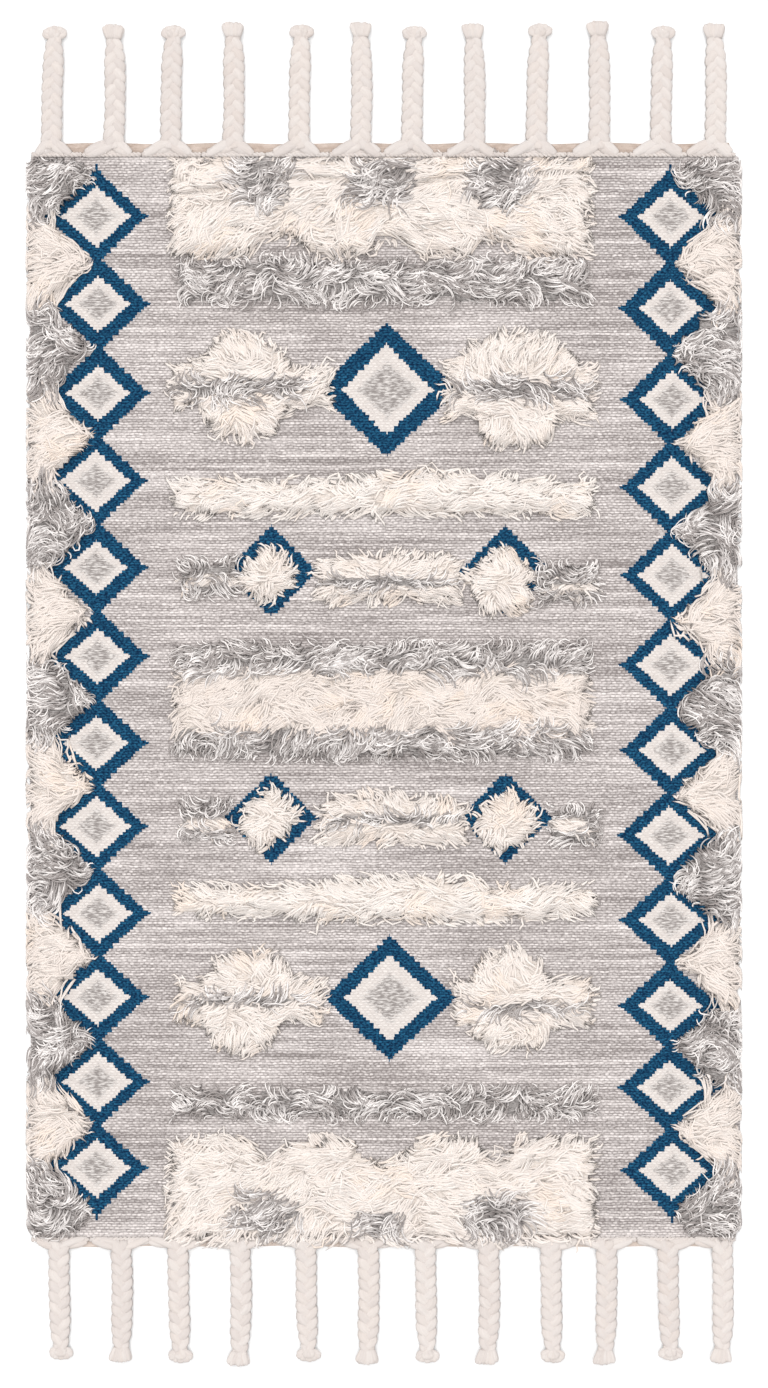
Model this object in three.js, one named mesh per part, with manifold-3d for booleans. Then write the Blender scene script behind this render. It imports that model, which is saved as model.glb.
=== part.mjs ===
// Wool rug: a flat-woven ground with knotted shag patches, a woven heading at each end and a
// row of plaited tassels beyond it. Millimetres, X across the rug, Y along it, +Z up.
// It lies flat on the floor, z = 0, and the origin is the middle of its footprint.

import * as THREE from 'three';
import { mergeVertices } from 'three/addons/utils/BufferGeometryUtils.js';
import Module from 'manifold-3d';

const wasm = await Module();
wasm.setup();

// Clearance between pieces
const GAP = 0.3;

// The flat-woven ground
const GROUND_HALF_WIDTH = 606;
const GROUND_TOP = 925;
const GROUND_BOTTOM = -930;
const GROUND_THICKNESS = 4;
const EDGE_WAVE = 2.5;
const EDGE_WAVE_LENGTH = 62;
const EDGE_STEPS = 24;

// The heading strips
const HEADING_HALF_LENGTH = 590;
const HEADING_DEPTH = 16;
const HEADING_THICKNESS = 4;
const HEADING_WAVE = 1.2;
const HEADING_WAVE_LENGTH = 34;
const HEADING_STEPS = 20;

// Shag: the pitch and reach of the locks at a patch's rim, and the shape of its back
const LOCK_PITCH = 28;
const LOCK_REACH = 9;
const SHOULDER_INSET = 14;
const SHOULDER_HEIGHT = 0.68;
const END_INSET = 11;
const LOCK_TIP_HEIGHT = 1.5;
const LARGEST_INSET_SHARE = 0.25;

// The pile's back rises and falls by LUMP, as waves with these lengths along X and Y.
const LUMP = 0.16;
const LUMP_WAVES = [
  { share: 0.6, alongX: 19, alongY: 43 },
  { share: 0.4, alongX: -31, alongY: 15 },
];

// Fields of shag between the borders. from and to are the ends along X, low and high the edges
// along Y, and crests the height of each crest row counted from the low edge. A swell moves an
// edge out by its rise over a half width about x, and a negative rise is a notch.
const FIELD_SHAG = {
  topMountainBand: {
    from: -368, to: 360, low: 737, high: 913, crests: [25, 27, 24, 22],
    lowSwells: [
      { x: -195, half: 42, rise: -34 },
      { x: 15, half: 42, rise: -30 },
      { x: 197, half: 40, rise: -30 },
    ],
  },
  topGreyBand: {
    from: -362, to: 356, low: 660, high: 738, crests: [20, 20],
  },
  upperLeftCross: {
    from: -368, to: -80, low: 474, high: 581, crests: [24, 17, 24],
    lowSwells: [{ x: -240, half: 74, rise: 46 }],
    highSwells: [{ x: -232, half: 74, rise: 40 }],
  },
  upperRightCross: {
    from: 98, to: 364, low: 466, high: 574, crests: [24, 17, 24],
    lowSwells: [{ x: 220, half: 76, rise: 50 }],
    highSwells: [{ x: 222, half: 76, rise: 50 }],
  },
  upperIvoryStripe: {
    from: -362, to: 364, low: 301, high: 372, crests: [25, 25],
    highSwells: [{ x: 110, half: 150, rise: 8 }],
  },
  upperLeftGreyTuft: {
    from: -352, to: -238, low: 165, high: 236, crests: [17, 19],
  },
  upperLeftDiamondTuft: {
    from: -260, to: -146, low: 190, high: 222, crests: [24, 25],
    lowSwells: [{ x: -203, half: 58, rise: 32 }],
    highSwells: [{ x: -203, half: 58, rise: 32 }],
  },
  upperMiddlePatch: {
    from: -142, to: 138, low: 151, high: 234, crests: [24, 17, 24],
    highSwells: [{ x: 20, half: 120, rise: 14 }],
  },
  upperRightDiamondTuft: {
    from: 144, to: 258, low: 178, high: 218, crests: [24, 26],
    lowSwells: [{ x: 198, half: 55, rise: 44 }],
    highSwells: [{ x: 204, half: 56, rise: 30 }],
  },
  upperRightGreyTuft: {
    from: 264, to: 376, low: 146, high: 222, crests: [19, 17],
  },
  middleBand: {
    from: -362, to: 358, low: -122, high: 94, crests: [19, 27, 28, 27, 19],
  },
  lowerLeftGreyTuft: {
    from: -352, to: -246, low: -256, high: -182, crests: [17, 19],
  },
  lowerLeftDiamondTuft: {
    from: -254, to: -140, low: -236, high: -200, crests: [24, 25],
    lowSwells: [{ x: -194, half: 56, rise: 30 }],
    highSwells: [{ x: -196, half: 56, rise: 32 }],
  },
  lowerMiddlePatch: {
    from: -130, to: 142, low: -266, high: -180, crests: [24, 17, 24],
    highSwells: [{ x: -20, half: 120, rise: 16 }],
  },
  lowerRightDiamondTuft: {
    from: 150, to: 270, low: -240, high: -198, crests: [24, 26],
    lowSwells: [{ x: 210, half: 58, rise: 38 }],
    highSwells: [{ x: 212, half: 58, rise: 36 }],
  },
  lowerRightGreyTuft: {
    from: 278, to: 370, low: -270, high: -188, crests: [19, 17],
  },
  lowerIvoryStripe: {
    from: -362, to: 362, low: -394, high: -318, crests: [25, 25],
    highSwells: [{ x: 20, half: 170, rise: 11 }],
  },
  lowerLeftCross: {
    from: -362, to: -80, low: -562, high: -484, crests: [24, 17, 24],
    lowSwells: [{ x: -232, half: 72, rise: 56 }],
    highSwells: [{ x: -226, half: 78, rise: 46 }],
  },
  lowerRightCross: {
    from: 112, to: 362, low: -564, high: -478, crests: [24, 17, 24],
    lowSwells: [{ x: 218, half: 74, rise: 50 }],
    highSwells: [{ x: 218, half: 74, rise: 46 }],
  },
  bottomGreyBand: {
    from: -362, to: 364, low: -732, high: -664, crests: [19, 19],
  },
  bottomMountainBand: {
    from: -370, to: 366, low: -918, high: -758, crests: [22, 24, 27, 25],
    highSwells: [
      { x: -195, half: 40, rise: -32 },
      { x: 0, half: 42, rise: -32 },
      { x: 197, half: 40, rise: -32 },
    ],
  },
};

// Border shag: a wedge of pile fills each corner between two diamonds of the border, from the
// rug's side to the waist where the diamonds meet. Diamond centres are evenly spaced along Y.
const DIAMOND_ROWS = 12;
const FIRST_DIAMOND_Y = 814;
const LAST_DIAMOND_Y = -811;
const WEDGE_OUTER = 613;
const WEDGE_INNER = 512;
const WEDGE_LOCK_REACH = 5;
const WEDGE_TIP_HALF = 8;
const WEDGE_OVERLAP = 2;
const WEDGE_HEIGHTS = [22, 23];
const WEDGE_TOP_LIMIT = 910;
const WEDGE_BOTTOM_LIMIT = -916;

// Plaited tassels. root, middle and tip are places along X, and end is how far the tip lies
// from the rug's middle. Every second one ends in a knob, and the others in a short brush.
const TOP_TASSELS = [
  { root: -568, middle: -566, tip: -562, end: 1142 },
  { root: -462, middle: -459, tip: -463, end: 1144 },
  { root: -364, middle: -363, tip: -359, end: 1143 },
  { root: -258, middle: -256, tip: -259, end: 1148 },
  { root: -145, middle: -144, tip: -140, end: 1144 },
  { root: -40, middle: -38, tip: -41, end: 1148 },
  { root: 48, middle: 49, tip: 53, end: 1142 },
  { root: 154, middle: 155, tip: 151, end: 1145 },
  { root: 260, middle: 262, tip: 267, end: 1146 },
  { root: 367, middle: 368, tip: 364, end: 1150 },
  { root: 473, middle: 474, tip: 478, end: 1142 },
  { root: 565, middle: 567, tip: 563, end: 1146 },
];
const BOTTOM_TASSELS = [
  { root: -555, middle: -554, tip: -551, end: 1140 },
  { root: -449, middle: -447, tip: -451, end: 1143 },
  { root: -352, middle: -350, tip: -347, end: 1145 },
  { root: -246, middle: -244, tip: -249, end: 1150 },
  { root: -133, middle: -132, tip: -128, end: 1143 },
  { root: -27, middle: -26, tip: -30, end: 1147 },
  { root: 71, middle: 72, tip: 75, end: 1145 },
  { root: 178, middle: 180, tip: 175, end: 1147 },
  { root: 285, middle: 286, tip: 289, end: 1145 },
  { root: 380, middle: 380, tip: 376, end: 1148 },
  { root: 485, middle: 486, tip: 490, end: 1141 },
  { root: 577, middle: 579, tip: 575, end: 1145 },
];
const PLAIT_HALF_WIDTH = 18.5;
const PLAIT_ROOT_HALF_WIDTH = 21;
const PLAIT_HEIGHT = 20;
const PLAIT_STEP = 9;
const ROOT_FLARE_STEPS = 3;
const LOBE_DEPTH = 0.15;
const LOBE_DROP = 0.24;
const LOBE_SLANT = 6;

// A plait's section, in shares of its half width and height
const BASE_WIDTH = 0.6;
const SIDE_HEIGHT = 0.45;
const CREST_WIDTH = 0.45;

// How a plait ends. back is the distance from the tip, and leftOut the lobe that stands out.
const KNOB = [
  { back: 30, half: 15, height: 15, leftOut: true },
  { back: 23, half: 21, height: 22, leftOut: false },
  { back: 8, half: 22, height: 23, leftOut: true },
  { back: 0, half: 15, height: 16, leftOut: false },
];
const BRUSH = [
  { back: 30, half: 16, height: 16, leftOut: false },
  { back: 15, half: 18, height: 19, leftOut: true },
  { back: 4, half: 20, height: 20, leftOut: true },
  { back: 0, half: 17, height: 16, leftOut: true },
];

// The two legs of a tassel, which lie over the heading. along is the distance from the plait's
// middle as a share of the leg's reach, and inward the distance from the heading's outer edge.
const LEG_REACH = 52;
const LEG_TOP_WIDTH = 0.6;
const LEG_CLEARANCE = 0.6;
const LEG_RINGS = [
  { along: 0, inward: -5, half: 6, height: 10 },
  { along: 0.32, inward: 1, half: 7.5, height: 11 },
  { along: 0.68, inward: 8, half: 7, height: 9 },
  { along: 1, inward: 13, half: 3, height: 5 },
];

// Joins equal rings of points into one closed body, with a fan of triangles over each end.
function loft(rings) {
  const sides = rings[0].length;
  const positions = rings.flat(2);
  const triangles = [];
  for (let i = 0; i + 1 < rings.length; i += 1) {
    for (let j = 0; j < sides; j += 1) {
      const a = i * sides + j;
      const b = i * sides + ((j + 1) % sides);
      triangles.push(a, b, b + sides, a, b + sides, a + sides);
    }
  }
  const last = (rings.length - 1) * sides;
  for (let j = 1; j + 1 < sides; j += 1) {
    triangles.push(0, j + 1, j);
    triangles.push(last, last + j, last + j + 1);
  }
  const geometry = new THREE.BufferGeometry();
  geometry.setAttribute('position', new THREE.Float32BufferAttribute(positions, 3));
  geometry.setIndex(signedVolume(positions, triangles) < 0 ? triangles.reverse() : triangles);
  return geometry;
}

function signedVolume(positions, triangles) {
  const corner = (index) => new THREE.Vector3().fromArray(positions, index * 3);
  let volume = 0;
  for (let t = 0; t < triangles.length; t += 3) {
    const [a, b, c] = [corner(triangles[t]), corner(triangles[t + 1]), corner(triangles[t + 2])];
    volume += a.dot(b.cross(c)) / 6;
  }
  return volume;
}

function toSolid(geometry) {
  const bare = geometry.clone();
  bare.deleteAttribute('normal');
  bare.deleteAttribute('uv');
  const merged = mergeVertices(bare, 1e-3);
  return new wasm.Manifold(new wasm.Mesh({
    numProp: 3,
    vertProperties: new Float32Array(merged.attributes.position.array),
    triVerts: new Uint32Array(merged.index.array),
  }));
}

function toGeometry(solid) {
  const mesh = solid.getMesh();
  const geometry = new THREE.BufferGeometry();
  geometry.setAttribute('position', new THREE.BufferAttribute(mesh.vertProperties, 3));
  geometry.setIndex(new THREE.BufferAttribute(mesh.triVerts, 1));
  geometry.computeVertexNormals();
  return geometry;
}

// A flat sheet of the given outline and thickness, lying on the floor.
function sheet(outline, thickness) {
  return new THREE.ExtrudeGeometry(new THREE.Shape(outline), { depth: thickness, bevelEnabled: false });
}

// The ground's outline: straight ends, and side edges that wander a little.
function groundOutline() {
  const side = (sign, step) => {
    const y = THREE.MathUtils.lerp(GROUND_BOTTOM, GROUND_TOP, step / EDGE_STEPS);
    const wander = EDGE_WAVE * Math.sin(y / EDGE_WAVE_LENGTH + sign);
    return new THREE.Vector2(sign * (GROUND_HALF_WIDTH + wander), y);
  };
  const outline = [];
  for (let step = 0; step <= EDGE_STEPS; step += 1) outline.push(side(1, step));
  for (let step = EDGE_STEPS; step >= 0; step -= 1) outline.push(side(-1, step));
  return outline;
}

// How far a place stands above (+1) or below (-1) the even height of the pile.
function ripple(x, y) {
  return LUMP_WAVES.reduce(
    (sum, { share, alongX, alongY }) => sum + share * Math.sin(x / alongX + y / alongY),
    0,
  );
}

// Where a patch's rings stand: one at each end, one close inside it, and even steps between.
function ringPlaces(from, to) {
  const inset = END_INSET * Math.sign(to - from);
  const steps = Math.max(2, Math.round((Math.abs(to - from) - 2 * END_INSET) / LOCK_PITCH));
  const places = [from];
  for (let i = 0; i <= steps; i += 1) {
    places.push(THREE.MathUtils.lerp(from + inset, to - inset, i / steps));
  }
  return [...places, to];
}

// A lumpy patch of shag from one x to another between two edges, with locks all round its rim.
function shagPatch({ from, to, low, high, crests, bed, lockReach = LOCK_REACH }) {
  const columns = crests.length + 4;
  const outward = Math.sign(to - from);
  const places = ringPlaces(from, to);
  const rings = places.map((x, i) => {
    const end = i === 0 || i === places.length - 1;
    const lock = i % 2 === 0 ? 0 : LOCK_REACH;
    const bottom = low(x) - lock;
    const top = high(x) + lock;
    const inset = Math.min(SHOULDER_INSET, (top - bottom) * LARGEST_INSET_SHARE);
    const ring = [];
    for (let j = 0; j < columns; j += 1) {
      if (j === 0 || j === columns - 1) {
        ring.push([x, j === 0 ? bottom : top, bed]);
        continue;
      }
      const y = THREE.MathUtils.lerp(bottom + inset, top - inset, (j - 1) / (columns - 3));
      if (end) {
        const tooth = j % 2 === 1 ? lockReach : 0;
        ring.push([x + tooth * outward * (i === 0 ? -1 : 1), y, bed + LOCK_TIP_HEIGHT]);
        continue;
      }
      const crest = crests[THREE.MathUtils.clamp(j - 2, 0, crests.length - 1)];
      const shoulder = j === 1 || j === columns - 2 ? SHOULDER_HEIGHT : 1;
      ring.push([x, y, crest * shoulder * (1 + LUMP * ripple(x, y))]);
    }
    return ring;
  });
  return loft(rings);
}

function swollenEdge(y, outward, swells = []) {
  return (x) => swells.reduce((edge, { x: middle, half, rise }) => {
    const share = Math.max(0, 1 - ((x - middle) / half) ** 2);
    return edge + outward * rise * Math.sqrt(share);
  }, y);
}

function fieldShag({ from, to, low, high, crests, lowSwells, highSwells }) {
  return shagPatch({
    from,
    to,
    low: swollenEdge(low, -1, lowSwells),
    high: swollenEdge(high, 1, highSwells),
    crests,
    bed: GROUND_THICKNESS / 2,
  });
}

// One wedge of the border, on the side given by sign, about the waist above diamond row.
function borderWedge(sign, row) {
  const pitch = (FIRST_DIAMOND_Y - LAST_DIAMOND_Y) / (DIAMOND_ROWS - 1);
  const waist = FIRST_DIAMOND_Y - pitch * (row - 0.5);
  const half = (x) => {
    const share = (Math.abs(x) - WEDGE_INNER) / (WEDGE_OUTER - WEDGE_INNER);
    return THREE.MathUtils.lerp(WEDGE_TIP_HALF, pitch / 2 + WEDGE_OVERLAP, Math.min(1, share));
  };
  return shagPatch({
    from: sign * WEDGE_OUTER,
    to: sign * WEDGE_INNER,
    low: (x) => Math.max(WEDGE_BOTTOM_LIMIT, waist - half(x)),
    high: (x) => Math.min(WEDGE_TOP_LIMIT, waist + half(x)),
    crests: WEDGE_HEIGHTS,
    bed: 0,
    lockReach: WEDGE_LOCK_REACH,
  });
}

function rugBody() {
  const patches = Object.values(FIELD_SHAG).map(fieldShag);
  for (const sign of [-1, 1]) {
    for (let row = 0; row <= DIAMOND_ROWS; row += 1) patches.push(borderWedge(sign, row));
  }
  const ground = toSolid(sheet(groundOutline(), GROUND_THICKNESS));
  return toGeometry(patches.reduce((body, patch) => body.add(toSolid(patch)), ground));
}

// A heading strip: straight where it meets the ground, a little uneven along its outer edge.
function heading(end, groundEdge) {
  const inner = groundEdge + end * GAP;
  const outline = [
    new THREE.Vector2(-HEADING_HALF_LENGTH, inner),
    new THREE.Vector2(HEADING_HALF_LENGTH, inner),
  ];
  for (let step = HEADING_STEPS; step >= 0; step -= 1) {
    const x = THREE.MathUtils.lerp(-HEADING_HALF_LENGTH, HEADING_HALF_LENGTH, step / HEADING_STEPS);
    const depth = HEADING_DEPTH - HEADING_WAVE * (1 + Math.sin(x / HEADING_WAVE_LENGTH));
    outline.push(new THREE.Vector2(x, groundEdge + end * depth));
  }
  return sheet(outline, HEADING_THICKNESS);
}

// One ring of a plait: flat below, with a left and a right lobe that swell by turns and slant
// from the sides of the plait towards its tip.
function plaitRing(x, y, half, height, leftOut, slant) {
  const left = half * (leftOut ? 1 : 1 - LOBE_DEPTH);
  const right = half * (leftOut ? 1 - LOBE_DEPTH : 1);
  const leftTop = height * (leftOut ? 1 : 1 - LOBE_DROP);
  const rightTop = height * (leftOut ? 1 - LOBE_DROP : 1);
  return [
    [x - left * BASE_WIDTH, y, 0],
    [x + right * BASE_WIDTH, y, 0],
    [x + right, y, height * SIDE_HEIGHT],
    [x + right * CREST_WIDTH, y + slant, rightTop],
    [x - left * CREST_WIDTH, y + slant, leftTop],
    [x - left, y, height * SIDE_HEIGHT],
  ];
}

// The plait from just outside the heading to its tip, with its knob or brush.
function plait({ root, middle, tip, end }, sign, start, tipRings) {
  const length = end - start;
  const line = new THREE.QuadraticBezierCurve(
    new THREE.Vector2(root, start),
    new THREE.Vector2(2 * middle - (root + tip) / 2, start + length / 2),
    new THREE.Vector2(tip, end),
  );
  const plaited = length - tipRings[0].back - PLAIT_STEP;
  const steps = Math.round(plaited / PLAIT_STEP);
  const rings = [];
  for (let i = 0; i <= steps; i += 1) {
    const along = (plaited * i) / steps;
    const flare = Math.max(0, 1 - i / ROOT_FLARE_STEPS);
    const half = THREE.MathUtils.lerp(PLAIT_HALF_WIDTH, PLAIT_ROOT_HALF_WIDTH, flare);
    const { x } = line.getPoint(along / length);
    const slant = i === 0 ? 0 : sign * LOBE_SLANT;
    rings.push(plaitRing(x, sign * (start + along), half, PLAIT_HEIGHT, i % 2 === 0, slant));
  }
  for (const { back, half, height, leftOut } of tipRings) {
    const { x } = line.getPoint(1 - back / length);
    rings.push(plaitRing(x, sign * (end - back), half, height, leftOut, 0));
  }
  return loft(rings);
}

// Both legs in one band over the heading, from the left leg's tip to the right leg's.
function legs(root, sign, start, reachLeft, reachRight) {
  const bed = HEADING_THICKNESS + GAP;
  const ring = (reach, { along, inward, half, height }) => {
    const x = root + reach * along;
    const y = start - inward;
    return [
      [x, sign * (y - half), bed],
      [x, sign * (y + half), bed],
      [x, sign * (y + half * LEG_TOP_WIDTH), bed + height],
      [x, sign * (y - half * LEG_TOP_WIDTH), bed + height],
    ];
  };
  const left = LEG_RINGS.slice(1).reverse().map((leg) => ring(-reachLeft, leg));
  return loft([...left, ...LEG_RINGS.map((leg) => ring(reachRight, leg))]);
}

function tassel(row, index, sign, groundEdge) {
  const start = Math.abs(groundEdge) + HEADING_DEPTH + GAP;
  const { root } = row[index];
  const before = index > 0
    ? (root - row[index - 1].root) / 2 - LEG_CLEARANCE
    : HEADING_HALF_LENGTH + root;
  const after = index + 1 < row.length
    ? (row[index + 1].root - root) / 2 - LEG_CLEARANCE
    : HEADING_HALF_LENGTH - root;
  const band = legs(root, sign, start, Math.min(LEG_REACH, before), Math.min(LEG_REACH, after));
  const tipRings = index % 2 === 0 ? KNOB : BRUSH;
  return toGeometry(toSolid(plait(row[index], sign, start, tipRings)).add(toSolid(band)));
}

const rug = new THREE.Group();

function addPiece(name, geometry, color) {
  const material = new THREE.MeshStandardMaterial({ color, roughness: 0.95, metalness: 0 });
  const mesh = new THREE.Mesh(geometry, material);
  mesh.name = name;
  rug.add(mesh);
}

const WOOL_GREY = 0xc9c5c2;
const WOOL_IVORY = 0xeee6dc;
const HEADING_BEIGE = 0xcdb9aa;

addPiece('rug_body', rugBody(), WOOL_GREY);
addPiece('heading_top', heading(1, GROUND_TOP), HEADING_BEIGE);
addPiece('heading_bottom', heading(-1, GROUND_BOTTOM), HEADING_BEIGE);
TOP_TASSELS.forEach((_, index) => {
  const number = String(index + 1).padStart(2, '0');
  addPiece(`tassel_top_${number}`, tassel(TOP_TASSELS, index, 1, GROUND_TOP), WOOL_IVORY);
});
BOTTOM_TASSELS.forEach((_, index) => {
  const number = String(index + 1).padStart(2, '0');
  addPiece(`tassel_bottom_${number}`, tassel(BOTTOM_TASSELS, index, -1, GROUND_BOTTOM), WOOL_IVORY);
});

export default rug;
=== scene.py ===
import math
from collections import namedtuple
from functools import partial

import bmesh
import bpy
import numpy as np
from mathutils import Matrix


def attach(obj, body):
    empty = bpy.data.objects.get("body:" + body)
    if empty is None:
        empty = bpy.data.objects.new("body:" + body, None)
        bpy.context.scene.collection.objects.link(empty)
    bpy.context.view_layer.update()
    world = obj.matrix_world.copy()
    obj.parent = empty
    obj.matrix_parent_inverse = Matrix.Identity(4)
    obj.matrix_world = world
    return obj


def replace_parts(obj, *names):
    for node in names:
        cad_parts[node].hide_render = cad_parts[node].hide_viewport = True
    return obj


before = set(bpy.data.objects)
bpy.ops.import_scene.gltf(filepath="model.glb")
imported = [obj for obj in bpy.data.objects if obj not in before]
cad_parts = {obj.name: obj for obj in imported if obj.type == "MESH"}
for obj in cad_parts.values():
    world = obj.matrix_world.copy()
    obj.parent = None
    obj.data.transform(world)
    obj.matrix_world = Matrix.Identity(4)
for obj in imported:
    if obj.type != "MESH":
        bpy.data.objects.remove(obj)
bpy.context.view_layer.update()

# Sizes are in millimetres, and each finished mesh is scaled to metres
MM = 0.001
TURN = 2 * math.pi
SEED = 46

# The woven ground, with its rounded bottom corners and its slight cockle
GROUND_HALF_WIDTH = 606
GROUND_TOP = 918
GROUND_BOTTOM = -930
GROUND_MIDDLE = (GROUND_TOP + GROUND_BOTTOM) / 2
GROUND_THICKNESS = 4
EDGE_WAVE = 2.5
EDGE_WAVE_LENGTH = 62
CORNER_HEIGHT = 28
CORNER_START = GROUND_BOTTOM + CORNER_HEIGHT
CORNER_DEPTH = 14
CORNER_LIMIT = 1.2
GROUND_COLUMNS = 14
ROWS_A_PICK = 3
PICK_DEPTH = 0.6
COCKLE = 0.5
COCKLE_LENGTHS = (83, 117)

# The border diamonds, and the weave's pick, which is the height of one weft thread
DIAMOND_ROWS = 12
FIRST_DIAMOND_Y = 814
LAST_DIAMOND_Y = -811
DIAMOND_SPAN = FIRST_DIAMOND_Y - LAST_DIAMOND_Y
DIAMOND_PITCH = DIAMOND_SPAN / (DIAMOND_ROWS - 1)
DIAMOND_COLUMN_X = 490
PICKS_A_DIAMOND = 32
PICK = DIAMOND_PITCH / PICKS_A_DIAMOND
FLOAT_LENGTH = 8.6

# How far the border's rows lie below an even spacing, on the left and on the right side of the rug:
# the middle rows, and the last one
ROW_SINK = (13, 22)
ROW_TAIL = (-3, 7)

# A woven diamond: its middle, and half the width and height of its blue outline, of the off-white
# inside it and of its grey core
Diamond = namedtuple("Diamond", "x y outline inside core")
LARGE_DIAMONDS = (
    Diamond(5, 519, (122, 113), (76, 77), (52, 47)),
    Diamond(10, -520, (113, 105), (77, 72), (47, 42)),
)

# One of the four small diamonds, which are mirrored about a point near the rug's middle
SMALL_DIAMOND = Diamond(200.5, 210.5, (79, 77), (46, 46), None)
SMALL_CENTRE = (7.5, -2)

# Each border diamond, how far one is moved by chance and how much its inside varies
BORDER_OUTLINE = (86, 78)
BORDER_INSIDE = (55, 48)
BORDER_CORE = (33, 29)
DIAMOND_SHIFT = 6
INSIDE_VARIES = 7

# Where two border diamonds meet: half the width and height of the joint and of the thorn through it
WAIST = (8.5, 5)
THORN = (2.3, 16)

# A diamond's stair steps: their height, the tooth on each and how far one strays. The outline and
# the inside have spikes at their side tips, and a core has a ragged rim.
STAIR = 9.5
TOOTH = 7.5
STEP_STRAY = 5
OUTLINE_SPIKE = 5
INSIDE_SPIKE = 3
CORE_RAG = 60

# The wool's patterns by chance: how fast each changes along the weft and across it, for each
# millimetre or for each row of the weave, and its detail
Grain = namedtuple("Grain", "along across detail", defaults=(2,))
ROW_WAVE = Grain(0.06, 0.05)
FLOAT_DRIFT = Grain(0.03, 0.15)
STROKE = Grain(1 / 7, 1 / 2.8, 3)
STREAK = Grain(1 / 260, 0.9)
CLOUD = Grain(1 / 260, 1 / 45)
SEAM_SHADE_GRAIN = Grain(1 / 45, 0.8, 3)
SPECKLE = Grain(0.22, 0.33, 3)
DASH = Grain(1 / 11, 1 / 2.8)
HEADING_CLOUD = Grain(1 / 30, 1 / 8)
ROOT_SPECK = Grain(0.12, 0.5, 3)
FIBRE_FINENESS = 0.9
FIBRE_STEP = 37
FIBRE_STEPS = 997
PILE_FIBRE = Grain(0.05, FIBRE_FINENESS)
ROVING_FIBRE = Grain(0.035, FIBRE_FINENESS, 4)

# How far the weave's rows wander, and how far a float is moved by chance
ROW_WANDER = 0.9
FLOAT_SHIFT = 0.25
FLOAT_SEED = 7

# How a finish mixes its yarn's two shades: a start, and a weight for each part of the pattern. The
# ground's parts are its ribs, which paint each float lighter on its crown and darker at its edges as
# painted light and shade, its light flecks with a painted highlight on the floats, painted shade along
# the seams between rows, strokes, streaks, clouds and end rows, lighter partly as painted light.
GROUND_TONE = (-1.55, 0.24, 0.33, -0.65, 1.5, 1.35, 0.8, 0.35)
# How the painted shade along the seams between rows opens and closes
SEAM_SHADE_TONE = (-1.5, 4)
# The blue, white and core yarns mix their speckles or dashes with the painted highlight on the floats'
# crowns
BLUE_TONE = (-1.15, 2.6, 0.6)
WHITE_TONE = (0.05, 0.9, 0.5)
CORE_TONE = (-2, 4.5, 0.3)
# The heading's parts are its flecks, its clouds and the painted shade over the rug's top end
HEADING_TONE = (-0.05, 0.2, 1.2, -0.45)
PILE_TONE = (-0.8, 1, 1.6)
ROVING_TONE = (-0.7, 2.4)
ROOT_TONE = (-1, 3)
# How much of the painted highlight on a float's crown varies with its fleck
HIGHLIGHT_FLECK = 0.8

# The rows at both ends of the ground are lighter, partly as lighter yarn and partly as painted light
# against the cord's shadow: how far in, and over what length they fade
LIGHT_END = 15
LIGHT_END_FADE = 12

# The darkest and the lightest shade of each yarn, from 0 to 255 a channel
GREY_WEFT = ((132, 124, 122), (230, 222, 219))
BLUE_WEFT = ((0, 32, 62), (36, 98, 132))
WHITE_WEFT = ((184, 174, 169), (223, 216, 211))
CORE_WEFT = ((144, 137, 134), (214, 208, 204))
BEIGE_WEFT = ((178, 160, 148), (226, 211, 201))
# The roots' shades are painted darker than the strands' own, the grey ones most, as shade down in the gaps
# between strands
IVORY_ROOTS = ((222, 208, 197), (242, 233, 226))
GREY_ROOTS = ((112, 106, 104), (196, 190, 187))
ROVING = ((205, 196, 192), (218, 211, 207))
ROVING_BLUSH = (216, 197, 183)
# The painted shade between the roving's fibres, mixed in by the last share below
ROVING_FIBRE_SHADE = (186, 172, 162)
BLUSH_SHARE = 0.6
FIBRE_SHADE_SHARE = 0.25

# The roving's tones and stains by chance, and how fast a strand of pile lightens from its root, as
# the painted shade at its root fades
ROVING_TONES = (0.3, 1)
ROVING_STAIN = 0.5
PILE_ROOT_SHADE_FADE = 2.5

# The pile's shades, the first of them painted shade at the strands' roots, and how far its surface
# is turned up
PileShades = namedtuple("PileShades", "root dark light stain upward")
IVORY_SHADES = PileShades((229, 217, 208), (230, 218, 210), (240, 232, 226), (242, 222, 205), 0.68)
GREY_SHADES = PileShades((128, 121, 119), (158, 150, 147), (246, 240, 237), (200, 190, 180), 0.35)

# The wool's surface: a bump is how deep its pattern is, and upward how far it is turned up
WOOL_ROUGHNESS = 0.9
WOOL_GLOSS = 0.15
GROUND_BUMP = 0.7
HEADING_BUMP = 0.4
PILE_BUMP = 0.7
ROVING_BUMP = 1.0
ROVING_UPWARD = 0.5
ROOT_BUMP = 1.4
ROOT_UPWARD = 0.6

# The border wedges of shag, from their inner tips to the rug's edge. Every second one is grey, from
# the top one down.
WEDGE_INNER = DIAMOND_COLUMN_X + 17
WEDGE_OUTER = GROUND_HALF_WIDTH + 3
WEDGE_TIP_HALF = 7
WEDGE_LEAST_HALF = 2
WEDGE_TIP_REACH = 10
WEDGE_ROOM = 20
WEDGE_SLOPE = 0.95
WEDGE_GROWTH = (2, 11)
WEDGE_SIDE_EXTRA = (4, 3)
WEDGE_GREY_EXTRA = 6
WEDGE_TURNED = 24
WEDGE_OVERLAP = 3
WEDGE_TOP_LIMIT = GROUND_TOP - 2
WEDGE_BOTTOM_LIMIT = GROUND_BOTTOM + 1
WEDGE_LENGTH = 60
WEDGE_CREST = 16
WEDGE_RAGGED = 1.6
# The ivory wedges' roots are painted a little grey, as shade in the gaps between their strands
IVORY_WEDGE_ROOT_SHADE = 0.15
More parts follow.
